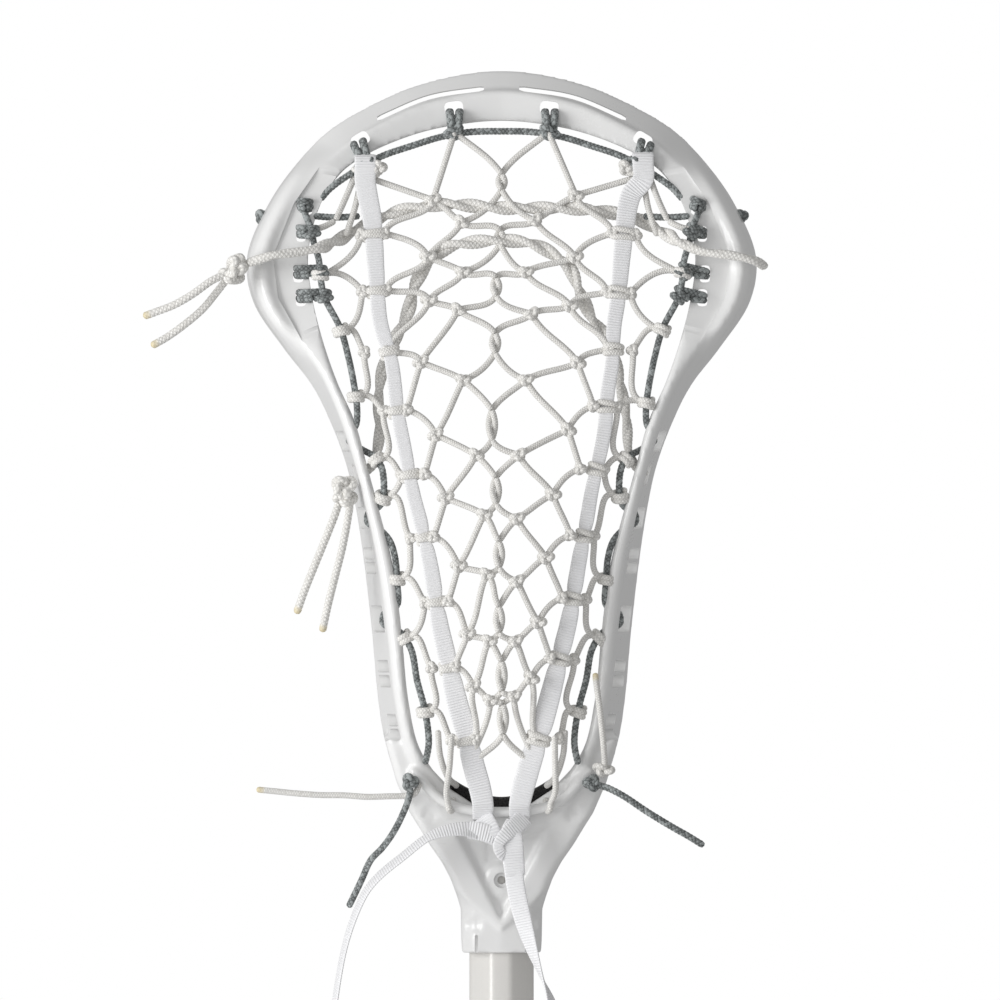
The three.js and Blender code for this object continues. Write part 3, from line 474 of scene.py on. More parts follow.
class Nodes:
    """A node tree, with one method that adds any node to it."""

    def __init__(self, tree):
        self.tree = tree

    def add(self, kind, settings=None, inputs=None, output=0):
        node = self.tree.nodes.new(kind)
        for name, value in (settings or {}).items():
            if name == "stops":
                for element, (place, shade) in zip(node.color_ramp.elements, value):
                    element.position = place
                    element.color = shade
            elif name == "captured":
                node.capture_items.new(*value)
            else:
                setattr(node, name, value)
        for name, value in (inputs or {}).items():
            self.put(value, node.inputs[name])
        return Value(self, node.outputs[output] if len(node.outputs) else None)

    def put(self, value, socket):
        if isinstance(value, Value):
            self.tree.links.new(value.socket, socket)
        else:
            socket.default_value = value


class Finish(Nodes):
    """A material on one Principled shader, whose unvaried values are set on its own sockets."""

    def __init__(self, name, **constants):
        self.material = bpy.data.materials.new(f"{name}_finish")
        self.material.use_nodes = True
        super().__init__(self.material.node_tree)
        self.surface = self.tree.nodes["Principled BSDF"]
        for socket, value in constants.items():
            self.surface.inputs[socket.replace("_", " ")].default_value = value

    def place(self):
        return self.add("ShaderNodeTexCoord", output="Object")

    def noise(self, scale, detail=3.0, roughness=0.5, vector=None):
        inputs = {"Vector": vector or self.place(), "Scale": scale, "Detail": detail,
                  "Roughness": roughness}
        return self.add("ShaderNodeTexNoise", {}, inputs)

    def mixed(self, factor, a, b):
        made = self.add("ShaderNodeMix", {"data_type": "RGBA"}, {0: factor}, output=2)
        for value, socket in ((a, made.socket.node.inputs[6]), (b, made.socket.node.inputs[7])):
            self.put(value if isinstance(value, Value) else (*value, 1.0), socket)
        return made

    def bump(self, height, distance, strength=1.0, normal=None):
        inputs = {"Height": height, "Distance": distance, "Strength": strength}
        if normal:
            inputs["Normal"] = normal
        return self.add("ShaderNodeBump", {}, inputs)

    def set(self, socket, value):
        self.put(value, self.surface.inputs[socket])


# Materials

def braid_pattern(finish):
    """The braid's diamonds from the piece's own map: their humps, and a chance shade for each."""
    across = finish.add("ShaderNodeUVMap", {"uv_map": "UVMap"})
    parts = finish.add("ShaderNodeSeparateXYZ", {}, {0: across})
    along, around = parts.of("X"), parts.of("Y")
    right = along + around
    left = along - around
    hump = abs((right * math.pi).sin() * (left * math.pi).sin())
    cell = finish.add("ShaderNodeCombineXYZ", {}, {0: right.floor(), 1: left.floor()})
    shade = finish.add("ShaderNodeTexWhiteNoise", {"noise_dimensions": "2D"}, {"Vector": cell})
    yarns = (along * 14.0 + around * 9.0).sin()
    return hump, shade, yarns


def braided_finish(name, crest_painted_light, crevice_painted_shade, fleck, fleck_share):
    """Braided cord: crests painted lighter and crevices painted darker as light and shade, chance flecks,
    fine yarns and melted ends.
    """
    finish = Finish(name, Sheen_Weight=0.25, Sheen_Roughness=0.5, Specular_IOR_Level=0.35)
    hump, shade, yarns = braid_pattern(finish)
    tone = finish.noise(160.0, 4.0)
    melted = finish.add("ShaderNodeAttribute", {"attribute_name": "melted"}, output="Fac")
    # Painted light and shade: the braid's humps light the crests and shade the crevices, with a random tone
    # on top
    body = finish.mixed((hump ** 0.6 + (tone - 0.5) * 0.5).clamped(), crevice_painted_shade, crest_painted_light)
    flecked = finish.mixed(shade.math("LESS_THAN", fleck_share) * 0.75, body, fleck)
    finish.set("Base Color", finish.mixed(melted, flecked, tuple(colours().melted)))
    finish.set("Roughness", (0.72 + tone * 0.2 - melted * 0.5).clamped())
    relief = (hump * 0.8 + yarns * 0.12 + tone * 0.1) * (1.0 - melted)
    finish.set("Normal", finish.bump(relief, 0.00022, 0.9))
    return finish.material


def grey_cord_finish():
    dark = tuple(colours().grey)
    # Painted light and shade: the crests at twice the grey, the crevices at under half of it
    return braided_finish("grey_cord", tuple(2.0 * c for c in dark), tuple(0.45 * c for c in dark),
                          (0.42, 0.45, 0.45), 0.34)


def white_cord_finish(name="white_cord"):
    light = tuple(colours().white)
    # Painted shade: the crevices at two thirds of the white, the crests at the white itself
    return braided_finish(name, light, tuple(0.66 * c for c in light), (0.76, 0.745, 0.71), 0.2)


def tape_finish():
    """Woven nylon tape: cross ribs with a fine warp, their crests painted lighter and the grooves between
    them painted darker, as light and shade.
    """
    finish = Finish("white_tape", Sheen_Weight=0.3, Specular_IOR_Level=0.4)
    mapped = finish.add("ShaderNodeUVMap", {"uv_map": "UVMap"})
    parts = finish.add("ShaderNodeSeparateXYZ", {}, {0: mapped})
    ribs = (parts.of("X") * (2.0 * math.pi)).sin() * 0.5 + 0.5
    warp = (parts.of("Y") * 70.0).sin() * 0.5 + 0.5
    tone = finish.noise(240.0, 4.0)
    # Painted light and shade: lighter along the ribs' crests and the warp's lengthwise lines, darker between
    # them; the noise is the tape's own tone
    shade = (ribs * 0.55 + warp * 0.2 + tone * 0.45).clamped()
    light = tuple(colours().tape)
    finish.set("Base Color", finish.mixed(shade, tuple(0.91 * c for c in light), light))
    finish.set("Roughness", 0.5 + tone * 0.25)
    finish.set("Normal", finish.bump(ribs * 0.7 + warp * 0.25 + tone * 0.15, 0.0002, 0.8))
    return finish.material


def plastic_finish():
    """Moulded plastic: glossy, with flow marks, a fine grain and faint scuffs."""
    finish = Finish("head_plastic", Specular_IOR_Level=0.5, Coat_Roughness=0.12)
    flow = finish.noise(14.0, 3.0)
    grain = finish.noise(900.0, 2.0)
    stretched = finish.add("ShaderNodeMapping", {}, {
        "Vector": finish.place(), "Rotation": (0.3, 0.9, 0.4), "Scale": (60.0, 700.0, 700.0)})
    scuffs = finish.noise(1.0, 2.0, vector=stretched).math("GREATER_THAN", 0.73)
    light = tuple(colours().plastic)
    body = finish.mixed(flow, tuple(0.965 * c for c in light), light)
    finish.set("Base Color", finish.mixed(scuffs * 0.10, body, (0.5, 0.5, 0.48)))
    finish.set("Roughness", 0.2 + flow * 0.14 + grain * 0.05 + scuffs * 0.12)
    finish.set("Coat Weight", 0.25 + flow * 0.2)
    finish.set("Normal", finish.bump(flow * 0.6 + grain * 0.06, 0.0004, 0.12))
    return finish.material


def paint_finish():
    """Satin paint over a drawn tube: lengthwise drawing lines, pearl flakes and small chips."""
    finish = Finish("shaft_paint", Coat_Roughness=0.2, Coat_Weight=0.3)
    drawn = finish.add("ShaderNodeMapping", {}, {"Vector": finish.place(), "Scale": (1400.0, 1400.0, 18.0)})
    lines = finish.noise(1.0, 3.0, vector=drawn)
    flakes = finish.add("ShaderNodeTexVoronoi", {}, {"Vector": finish.place(), "Scale": 2600.0},
                        output="Color")
    flake = finish.add("ShaderNodeSeparateXYZ", {}, {0: flakes})
    chips = finish.add("ShaderNodeTexVoronoi", {}, {"Vector": finish.place(), "Scale": 38.0})
    chip = chips.math("LESS_THAN", 0.018)
    light = tuple(colours().paint)
    body = finish.mixed((lines * 0.6 + flake * 0.4).clamped(), tuple(0.94 * c for c in light), light)
    finish.set("Base Color", finish.mixed(chip * 0.8, body, (0.08, 0.08, 0.08)))
    finish.set("Roughness", 0.3 + lines * 0.14)
    finish.set("Metallic", flake * 0.12)
    finish.set("Normal", finish.bump(lines * 0.4 + flake * 0.1, 0.0001, 0.25))
    return finish.material


def rubber_finish():
    """Black rubber with a pebbled grip and dusty high spots."""
    finish = Finish("cap_rubber", Specular_IOR_Level=0.3)
    pebbles = finish.add("ShaderNodeTexVoronoi", {}, {"Vector": finish.place(), "Scale": 900.0})
    dust = finish.noise(60.0, 5.0)
    finish.set("Base Color", finish.mixed((dust * 0.6).clamped(), (0.010, 0.010, 0.011), (0.05, 0.05, 0.048)))
    finish.set("Roughness", 0.62 + dust * 0.3)
    finish.set("Normal", finish.bump(pebbles, 0.0003, 0.6))
    return finish.material


def foam_finish():
    """Closed-cell foam: small pores, painted darker in their sunk middles as shade and paler at their rims.
    """
    finish = Finish("stop_foam", Specular_IOR_Level=0.2, Sheen_Weight=0.2)
    pores = finish.add("ShaderNodeTexVoronoi", {}, {"Vector": finish.place(), "Scale": 1300.0})
    wide = finish.noise(120.0, 4.0)
    # Painted shade: each pore is darker in its sunk middle and paler towards its rim
    finish.set("Base Color", finish.mixed(pores.clamped(), (0.008, 0.008, 0.009), (0.045, 0.043, 0.042)))
    finish.set("Roughness", 0.85 + wide * 0.12)
    finish.set("Normal", finish.bump(pores + wide * 0.4, 0.0004, 0.9))
    return finish.material


def steel_finish():
    """Plated steel: turned rings round its axis, with dull spots."""
    finish = Finish("screw_steel", Metallic=1.0)
    centred = finish.add("ShaderNodeMapping", {}, {"Vector": finish.place(),
                                                   "Location": (0.0, 0.0, -(LIP + SCREW_HEIGHT))})
    parts = finish.add("ShaderNodeSeparateXYZ", {}, {0: centred})
    radius = (parts.of("X") ** 2.0 + parts.of("Z") ** 2.0) ** 0.5
    rings = (radius * 16000.0).sin() * 0.5 + 0.5
    spots = finish.noise(700.0, 3.0)
    finish.set("Base Color", finish.mixed(spots, (0.66, 0.66, 0.65), (0.86, 0.86, 0.85)))
    finish.set("Roughness", 0.26 + spots * 0.2)
    finish.set("Normal", finish.bump(rings, 0.00003, 0.4))
    return finish.material


FINISHES = {
    "head_plastic": plastic_finish,
    "shaft_paint": paint_finish,
    "cap_rubber": rubber_finish,
    "stop_foam": foam_finish,
    "screw_steel": steel_finish,
    "grey_cord": grey_cord_finish,
    "white_cord": white_cord_finish,
    "white_lace": lambda: white_cord_finish("white_lace"),
    "white_tape": tape_finish,
}


def finish_of(name):
    return bpy.data.materials.get(f"{name}_finish") or FINISHES[name]()


# Paths

def run_along(line):
    """How far along a line each of its points is."""
    steps = np.linalg.norm(np.diff(line, axis=0), axis=1)
    return np.concatenate([[0.0], np.cumsum(steps)])


def evenly(line, spacing):
    """The same line with its points evenly spaced, about that far apart."""
    run = run_along(line)
    count = max(2, int(round(run[-1] / spacing)) + 1)
    wanted = np.linspace(0.0, run[-1], count)
    return np.stack([np.interp(wanted, run, line[:, axis]) for axis in range(3)], axis=1)


def spline_points(points, per_span, before=None, after=None):
    """Points of a centripetal spline, a fixed number for each span between the given points."""
    p = [np.array(point, float) for point in points]
    p = [2 * p[0] - p[1] if before is None else np.array(before, float), *p,
         2 * p[-1] - p[-2] if after is None else np.array(after, float)]
    knots = [0.0]
    for here, there in zip(p, p[1:]):
        knots.append(knots[-1] + max(math.sqrt(np.linalg.norm(there - here)), 1e-5))

    def between(start, end, first, last, now):
        return start + (end - start) * ((now - first) / (last - first))

    line = []
    for i in range(1, len(p) - 2):
        t0, t1, t2, t3 = knots[i - 1:i + 3]
        for now in np.linspace(t1, t2, per_span, endpoint=False):
            a = between(p[i - 1], p[i], t0, t1, now)
            b = between(p[i], p[i + 1], t1, t2, now)
            c = between(p[i + 1], p[i + 2], t2, t3, now)
            line.append(between(between(a, b, t0, t2, now), between(b, c, t1, t3, now), t1, t2, now))
    line.append(p[-2])
    return np.array(line)


def smooth_path(points, spacing=PATH_STEP):
    """A spline through given points, as evenly spaced points."""
    return evenly(spline_points(points, 16), spacing)


def along_head(points, spacing=PATH_STEP):
    """A smooth path through points given as (x, y, height)."""
    return smooth_path([at(*point) for point in points], spacing)


def side_frames(line):
    """At each point of a line, a direction that stays square to it and one across both."""
    tangents = np.gradient(line, axis=0)
    tangents /= np.linalg.norm(tangents, axis=1)[:, None]
    normal = np.array(BACK, float)
    normals = []
    for tangent in tangents:
        normal = normal - tangent * normal.dot(tangent)
        normal /= np.linalg.norm(normal)
        normals.append(normal)
    normals = np.array(normals)
    return tangents, normals, np.cross(tangents, normals)


def wound_round(line, radius, turn_length, phase):
    """A strand that winds round a line."""
    _, normals, across = side_frames(line)
    angle = 2 * math.pi * run_along(line) / turn_length + phase
    return line + radius * (np.cos(angle)[:, None] * normals + np.sin(angle)[:, None] * across)


def loop_round(centre, axis, facing, half_width, half_depth, turns=1.0, rise=0.0, phase=0.0):
    """An oval coil round an axis: wide across it, and deep along facing."""
    axis = np.array(axis, float) / np.linalg.norm(axis)
    facing = np.array(facing, float)
    facing = facing - axis * facing.dot(axis)
    facing /= np.linalg.norm(facing)
    across = np.cross(axis, facing)
    line = []
    for angle in np.linspace(0.0, 2 * math.pi * turns, int(28 * turns) + 1):
        share = angle / (2 * math.pi * turns) - 0.5
        line.append(np.array(centre) + across * half_width * math.cos(angle + phase)
                    + facing * half_depth * math.sin(angle + phase) + axis * rise * share)
    return np.array(line)


def knot_path(centre, size, turn=0.0, lean=0.0):
    """A trefoil, pulled to a lump of that size. Turn is in the head's plane, lean tips it."""
    t = np.linspace(0.0, 2 * math.pi, 57)
    x = (np.sin(t) + 2 * np.sin(2 * t)) / 3
    z = (np.cos(t) - 2 * np.cos(2 * t)) / 3
    y = -np.sin(3 * t)
    points = np.stack([x * size[0] / 2, y * size[1] / 2, z * size[2] / 2], axis=1)
    turned = Matrix.Rotation(turn, 3, "Y") @ Matrix.Rotation(lean, 3, "X")
    return points @ np.array(turned).T + np.array(centre)


def pocket_y(x, height):
    """How deep the pocket hangs at a place of the head."""
    heights, edges, middles, widths = (np.array(column) for column in zip(*POCKET))
    edge = np.interp(height, heights, edges)
    middle = np.interp(height, heights, middles)
    share = min(1.0, abs(x) / np.interp(height, heights, widths))
    return middle + (edge - middle) * share ** 2


def on_pocket(x, height, lift=0.0):
    return at(x, pocket_y(x, height) + lift, height)


# Meshes

def mesh_of(name, points, faces, maps=None):
    """A mesh from points and faces, with a map value for each face's corners if given."""
    mesh = bpy.data.meshes.new(name)
    mesh.from_pydata([tuple(p) for p in points], [], [tuple(f) for f in faces])
    if maps is not None:
        layer = mesh.uv_layers.new(name="UVMap")
        layer.data.foreach_set("uv", np.array(maps, np.float32).ravel())
    mesh.update()
    return mesh


def faced_outwards(mesh):
    """Every closed part of the mesh gets its faces turned outwards."""
    shape = bmesh.new()
    shape.from_mesh(mesh)
    bmesh.ops.recalc_face_normals(shape, faces=shape.faces)
    shape.to_mesh(mesh)
    shape.free()
    return mesh


def mark_creases(mesh, degrees):
    """Shades smooth, apart from edges that bend by more than that."""
    mesh.shade_smooth()
    mesh.set_sharp_from_angle(angle=math.radians(degrees))


def lofted(rings, closed=False):
    """Points and faces of a skin through rings; open ends are closed by fans."""
    count = len(rings[0])
    points = [p for ring in rings for p in ring]
    spans = len(rings) if closed else len(rings) - 1
    faces = []
    for ring in range(spans):
        here = ring * count
        there = ((ring + 1) % len(rings)) * count
        for corner in range(count):
            after = (corner + 1) % count
            faces.append((here + corner, here + after, there + after, there + corner))
    if not closed:
        last = (len(rings) - 1) * count
        faces.append(tuple(range(count - 1, -1, -1)))
        faces.append(tuple(last + corner for corner in range(count)))
    return points, faces


def gathered(shapes):
    """Several (points, faces) as one."""
    points, faces = [], []
    for more, sides in shapes:
        faces += [tuple(index + len(points) for index in face) for face in sides]
        points += list(more)
    return points, faces


def piece(name, mesh, nodes, finish=None):
    """A finished piece of the stick, in place of its CAD nodes."""
    made = bpy.data.objects.new(name, mesh)
    bpy.context.scene.collection.objects.link(made)
    if finish:
        mesh.materials.clear()
        mesh.materials.append(finish_of(finish))
    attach(made, "root")
    if nodes:
        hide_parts(*nodes)
    return made


# Braided cords

BRAIDS = {
    # cell length, diamonds around, sides, relief, spacing of the rings
    "grey_cord": (0.00155, 4, 16, 0.00014, 0.0004),
    "white_cord": (0.00167, 4, 16, 0.00017, 0.00042),
    "white_lace": (0.00099, 4, 12, 0.00009, 0.00034),
}


def braid_tree():
    """Geometry nodes that turn curves into braided cords with round ends."""
    tree = bpy.data.node_groups.get("braided_cord")
    if tree:
        return tree
    tree = bpy.data.node_groups.new("braided_cord", "GeometryNodeTree")
    tree.interface.new_socket("Geometry", in_out="OUTPUT", socket_type="NodeSocketGeometry")
    for name, kind in (("Geometry", "NodeSocketGeometry"), ("Width", "NodeSocketFloat"),
                       ("Cell Length", "NodeSocketFloat"), ("Diamonds", "NodeSocketInt"),
                       ("Sides", "NodeSocketInt"), ("Relief", "NodeSocketFloat"),
                       ("Melted Length", "NodeSocketFloat"), ("Material", "NodeSocketMaterial")):
        tree.interface.new_socket(name, in_out="INPUT", socket_type=kind)
    nodes = Nodes(tree)
    given = nodes.add("NodeGroupInput")
    spline = nodes.add("GeometryNodeSplineParameter")
    total = nodes.add("GeometryNodeSplineLength")
    run = nodes.add("GeometryNodeCaptureAttribute", {"captured": ("FLOAT", "Along")},
                    {"Geometry": given.of("Geometry"), 1: spline.of("Length")})
    rest = nodes.add("GeometryNodeCaptureAttribute", {"captured": ("FLOAT", "Rest")},
                     {"Geometry": run.of("Geometry"), 1: total.of("Length") - spline.of("Length")})
    middle = nodes.add("GeometryNodeCaptureAttribute", {"captured": ("VECTOR", "Middle")},
                       {"Geometry": rest.of("Geometry"), 1: nodes.add("GeometryNodeInputPosition")})
    ring = nodes.add("GeometryNodeCurveArc", {}, {"Resolution": given.of("Sides") + 1.0,
                                                  "Radius": given.of("Width") * 0.5,
                                                  "Sweep Angle": 2 * math.pi})
    around = nodes.add("GeometryNodeCaptureAttribute", {"captured": ("FLOAT", "Around")},
                       {"Geometry": ring.of("Curve"),
                        1: nodes.add("GeometryNodeSplineParameter").of("Factor")})
    tube = nodes.add("GeometryNodeCurveToMesh", {}, {
        "Curve": middle.of("Geometry"), "Profile Curve": around.of("Geometry"),
        "Scale": nodes.add("GeometryNodeInputRadius")})
    cells = run.of("Along") / given.of("Cell Length")
    turns = around.of("Around") * given.of("Diamonds")
    hump = abs(((cells + turns) * math.pi).sin() * ((cells - turns) * math.pi).sin())
    outwards = nodes.add("ShaderNodeVectorMath", {"operation": "SUBTRACT"},
                         {0: nodes.add("GeometryNodeInputPosition"), 1: middle.of("Middle")})
    direction = nodes.add("ShaderNodeVectorMath", {"operation": "NORMALIZE"}, {0: outwards})
    reach = nodes.add("ShaderNodeVectorMath", {"operation": "LENGTH"}, {0: outwards}, output="Value")
    height = (hump - 0.55) * given.of("Relief") * (reach / (given.of("Width") * 0.5))
    moved = nodes.add("ShaderNodeVectorMath", {"operation": "SCALE"}, {0: direction, "Scale": height})
    braided = nodes.add("GeometryNodeSetPosition", {}, {"Geometry": tube, "Offset": moved})
    place = nodes.add("ShaderNodeCombineXYZ", {}, {0: cells, 1: turns})
    mapped = nodes.add("GeometryNodeStoreNamedAttribute", {"data_type": "FLOAT2", "domain": "CORNER"},
                       {"Geometry": braided, "Name": "UVMap", "Value": place})
    melted = (1.0 - rest.of("Rest") / (given.of("Melted Length") + 0.000001)).clamped() ** 0.5
    melted = melted * given.of("Melted Length").math("GREATER_THAN", 0.0)
    marked = nodes.add("GeometryNodeStoreNamedAttribute", {"data_type": "FLOAT", "domain": "POINT"},
                       {"Geometry": mapped, "Name": "melted", "Value": melted})
    closed = nodes.add("GeometryNodeMergeByDistance", {}, {"Geometry": marked, "Distance": 0.000004})
    smooth = nodes.add("GeometryNodeSetShadeSmooth", {}, {"Geometry": closed})
    real = nodes.add("GeometryNodeRealizeInstances", {}, {"Geometry": smooth})
    dressed = nodes.add("GeometryNodeSetMaterial", {}, {"Geometry": real,
                                                        "Material": given.of("Material")})
    nodes.add("NodeGroupOutput", {}, {"Geometry": dressed})
    return tree


def plain_mesh(made):
    """The evaluated object as a plain mesh; the object and its modifiers go."""
    bpy.context.view_layer.update()
    seen = made.evaluated_get(bpy.context.evaluated_depsgraph_get())
    mesh = bpy.data.meshes.new_from_object(seen, preserve_all_data_layers=True,
                                           depsgraph=bpy.context.evaluated_depsgraph_get())
    bpy.data.objects.remove(made)
    return mesh


def braided(name, lines, width, finish, melted=0.0):
    """Braided cords along lines, as one mesh."""
    cell, diamonds, sides, relief, spacing = BRAIDS[finish]
    curve = bpy.data.curves.new(name, "CURVE")
    curve.dimensions = "3D"
    for line in lines:
        line = evenly(np.array(line, float), spacing)
        spline = curve.splines.new("POLY")
        spline.points.add(len(line) - 1)
        spline.points.foreach_set("co", np.hstack([line, np.ones((len(line), 1))]).ravel())
        run = np.arange(len(line)) * np.linalg.norm(line[1] - line[0])
        near_end = np.minimum(run, run[::-1]) / (width / 2)
        radii = np.sqrt(1 - (1 - np.minimum(near_end, 1.0)) ** 2)
        spline.points.foreach_set("radius", radii)
    source = bpy.data.objects.new(name, curve)
    bpy.context.scene.collection.objects.link(source)
    modifier = source.modifiers.new("Braid", "NODES")
    modifier.node_group = braid_tree()
    values = {"Width": width, "Cell Length": cell, "Diamonds": diamonds, "Sides": sides,
              "Relief": relief, "Melted Length": melted, "Material": finish_of(finish)}
    for item in modifier.node_group.interface.items_tree:
        if item.name in values:
            modifier[item.identifier] = values[item.name]
    return faced_outwards(plain_mesh(source))


# The stage

# Lights: name, place from the middle of the head, size, power
LIGHTS = [
    ("key", (-1.85, -1.1, 0.15), 1.3, 33.0),
    ("fill", (-0.35, -2.2, 0.30), 1.4, 5.0),
]
SURROUND = 0.37  # how bright the white room is, seen from the stick


def add_stage():
    """Camera square to the back of the head, soft light from the left, a pale floor."""
    scene = bpy.context.scene
    scene.view_settings.view_transform = "Standard"
    centre = Vector((-0.0006, -0.020, LIP + 0.1744))
    view_width = 0.385
    camera = bpy.data.cameras.new("camera")
    camera.lens = 1000
    camera.sensor_width = 36
    distance = view_width * camera.lens / camera.sensor_width
    camera.clip_end = 50
    seat = bpy.data.objects.new("camera", camera)
    seat.location = centre - Vector((0, distance, 0))
    seat.rotation_euler = (math.pi / 2, 0, 0)
    scene.collection.objects.link(seat)
    scene.camera = seat
    for name, place, size, power in LIGHTS:
        lamp = bpy.data.lights.new(name, "AREA")
        lamp.size = size
        lamp.energy = power
        made = bpy.data.objects.new(name, lamp)
        made.location = centre + Vector(place)
        made.rotation_euler = (-Vector(place)).to_track_quat("-Z", "Y").to_euler()
        scene.collection.objects.link(made)
    world = bpy.data.worlds.new("studio")
    world.use_nodes = True
    scene.world = world
    nodes = Nodes(world.node_tree)
    seen = nodes.add("ShaderNodeLightPath").of("Is Camera Ray")
    background = world.node_tree.nodes["Background"]
    nodes.put((1.0, 1.0, 1.0, 1.0), background.inputs["Color"])
    nodes.put(seen * (1.0 - SURROUND) + SURROUND, background.inputs["Strength"])
    reach = 3.0
    points = [(x, y, CAP_LOW - 0.0005) for x, y in ((-reach, -reach), (reach, -reach), (reach, reach),
                                                  (-reach, reach))]
    floor = bpy.data.objects.new("floor", mesh_of("floor", points, [(0, 1, 2, 3)]))
    finish = Finish("floor_paper", Roughness=0.9, Specular_IOR_Level=0.2)
    finish.set("Base Color", finish.mixed(finish.noise(3.0, 2.0), (0.80, 0.80, 0.80), (0.84, 0.84, 0.84)))
    floor.data.materials.append(finish.material)
    scene.collection.objects.link(floor)


# Shaft, cap, screw and ball stop

def filleted(outline, radius, steps=4):
    """A closed outline of (a, b) pairs with each corner turned into a short curve."""
    corners = [np.array(p, float) for p in outline]
    result = []
    for index, corner in enumerate(corners):
        ends = []
        for other in (corners[index - 1], corners[(index + 1) % len(corners)]):
            side = other - corner
            size = np.linalg.norm(side)
            ends.append(corner + side * (min(radius, 0.45 * size) / max(size, 1e-9)))
        for share in np.linspace(0, 1, steps):
            first = ends[0] + (corner - ends[0]) * share
            second = corner + (ends[1] - corner) * share
            result.append(first + (second - first) * share)
    return np.array(result)


def shaft_outline(margin=0.0, radius=0.0016):
    """The shaft's octagon, grown by a margin, with its edges rounded."""
    low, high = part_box("shaft")
    half_width = (high.x - low.x) / 2 + margin
    half_depth = (high.y - low.y) / 2 + margin
    back, side = 0.0037 + 0.4 * margin, 0.00525 + 0.4 * margin
    corners = [(back, -half_depth), (half_width, -side), (half_width, side), (back, half_depth),
               (-back, half_depth), (-half_width, side), (-half_width, -side), (-back, -half_depth)]
    return filleted(corners, radius, 5)


def rings_at(profile, radius=0.0016):
    """Octagonal rings, one for each (margin, z) of a profile."""
    return [[(x, y, z) for x, y in shaft_outline(margin, radius)] for margin, z in profile]


def build_shaft():
    """The octagonal tube, open at both ends."""
    wall, chamfer = 0.0015, 0.0004
    profile = [(-chamfer, SHAFT_LOW), (0, SHAFT_LOW + chamfer), (0, SHAFT_HIGH - chamfer),
               (-chamfer, SHAFT_HIGH), (chamfer - wall, SHAFT_HIGH), (-wall, SHAFT_HIGH - chamfer),
               (-wall, SHAFT_LOW + chamfer), (chamfer - wall, SHAFT_LOW)]
    mesh = faced_outwards(mesh_of("shaft_tube", *lofted(rings_at(profile), closed=True)))
    mark_creases(mesh, 38)
    piece("shaft_tube", mesh, ["shaft"], "shaft_paint")


def build_cap():
    """The rubber cap on the butt end, with five grooves round it."""
    low, wall, top = CAP_LOW, 0.0022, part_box("butt_cap")[1].z
    profile = [(-0.009, low), (-0.0015, low), (wall - 0.0016, low + 0.0003), (wall - 0.0004, low + 0.0012),
               (wall, low + 0.0028)]
    for rib in range(5):
        base = low + 0.0068 + rib * 0.0040
        profile += [(wall, base), (wall - 0.0006, base + 0.0005), (wall - 0.0006, base + 0.0013),
                    (wall, base + 0.0018)]
    profile += [(wall, top - 0.0008), (wall - 0.0006, top), (0.0006, top), (0.0003, top - 0.0005),
                (0.0003, low + 0.004), (-0.009, low + 0.004)]
    mesh = faced_outwards(mesh_of("end_cap", *lofted(rings_at(profile))))
    mark_creases(mesh, 50)
    piece("end_cap", mesh, ["butt_cap"], "cap_rubber")


def build_screw():
    """The screw's head, with its six-sided socket, on a plain shank."""
    head_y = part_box("head_screw")[0].y
    # Radius and depth of each ring, from the floor of the key's socket out and back to the tip
    socket = [(0.00055, 0.0012), (0.0009, 0.0011), (0.0010, 0.0002)]
    outside = [(0.0013, 0.0), (0.0019, 0.0001), (0.0024, 0.0006), (0.0025, 0.0010), (0.0025, 0.0021),
               (0.0013, 0.0023), (0.0013, 0.0088), (0.0009, 0.0092)]
    rings = []
    for radius, depth in socket + outside:
        ring = []
        for step in range(48):
            angle = step / 48 * 2 * math.pi
            flat = math.cos(math.pi / 6) / math.cos((angle % (math.pi / 3)) - math.pi / 6)
            reach = radius * (flat if (radius, depth) in socket else 1.0)
            ring.append((reach * math.cos(angle), head_y + depth,
                         LIP + SCREW_HEIGHT + reach * math.sin(angle)))
        rings.append(ring)
    mesh = faced_outwards(mesh_of("throat_screw", *lofted(rings)))
    mark_creases(mesh, 35)
    piece("throat_screw", mesh, ["head_screw"], "screw_steel")


def build_ball_stop():
    """A curved foam pad that lines the inside of the throat."""
    low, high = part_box("ball_stop")
    half = (high.x - low.x) / 2
    rings = []
    for y, shrink in ((low.y, 0.0010), (low.y + 0.0003, 0.0004), (low.y + 0.0011, 0.0), (0.0, 0.0),
                      (high.y - 0.0011, 0.0), (high.y - 0.0003, 0.0004), (high.y, 0.0010)):
        reach = half - shrink
        under = [(x, 0.0544 + shrink + 0.0098 * abs(x / half) ** 1.9)
                 for x in np.linspace(-reach, reach, 41)]
        over = [(x, 0.0598 - shrink + 0.0086 * abs(x / half) ** 1.9)
                for x in np.linspace(reach * 0.93, -reach * 0.93, 41)]
        rings.append([at(x, y, height) for x, height in filleted(under + over, 0.0006, 2)])
    mesh = faced_outwards(mesh_of("ball_stop_pad", *lofted(rings)))
    mark_creases(mesh, 50)
    made = piece("ball_stop_pad", mesh, ["ball_stop"], "stop_foam")


# The head

PANEL_STEP = 0.0011  # depth of the sunk panels beside the rim's widest part


def smoothstep(value):
    share = np.clip(value, 0, 1)
    return share * share * (3 - 2 * share)


def crease_at(place):
    """How strongly the panel is sunk at a place of the rim, counted in rows of its table."""
    return float(smoothstep((place - 3.2) / 1.2) * smoothstep((8.8 - place) / 1.3))


def rim_section(outside, direction, section, side=1):
    """A section of the rim, from pairs of (how far in from its outer edge, y)."""
    ring = []
    for inwards, y in section:
        x, height = outside + direction * inwards
        ring.append(at(side * x, y, height))
    return ring


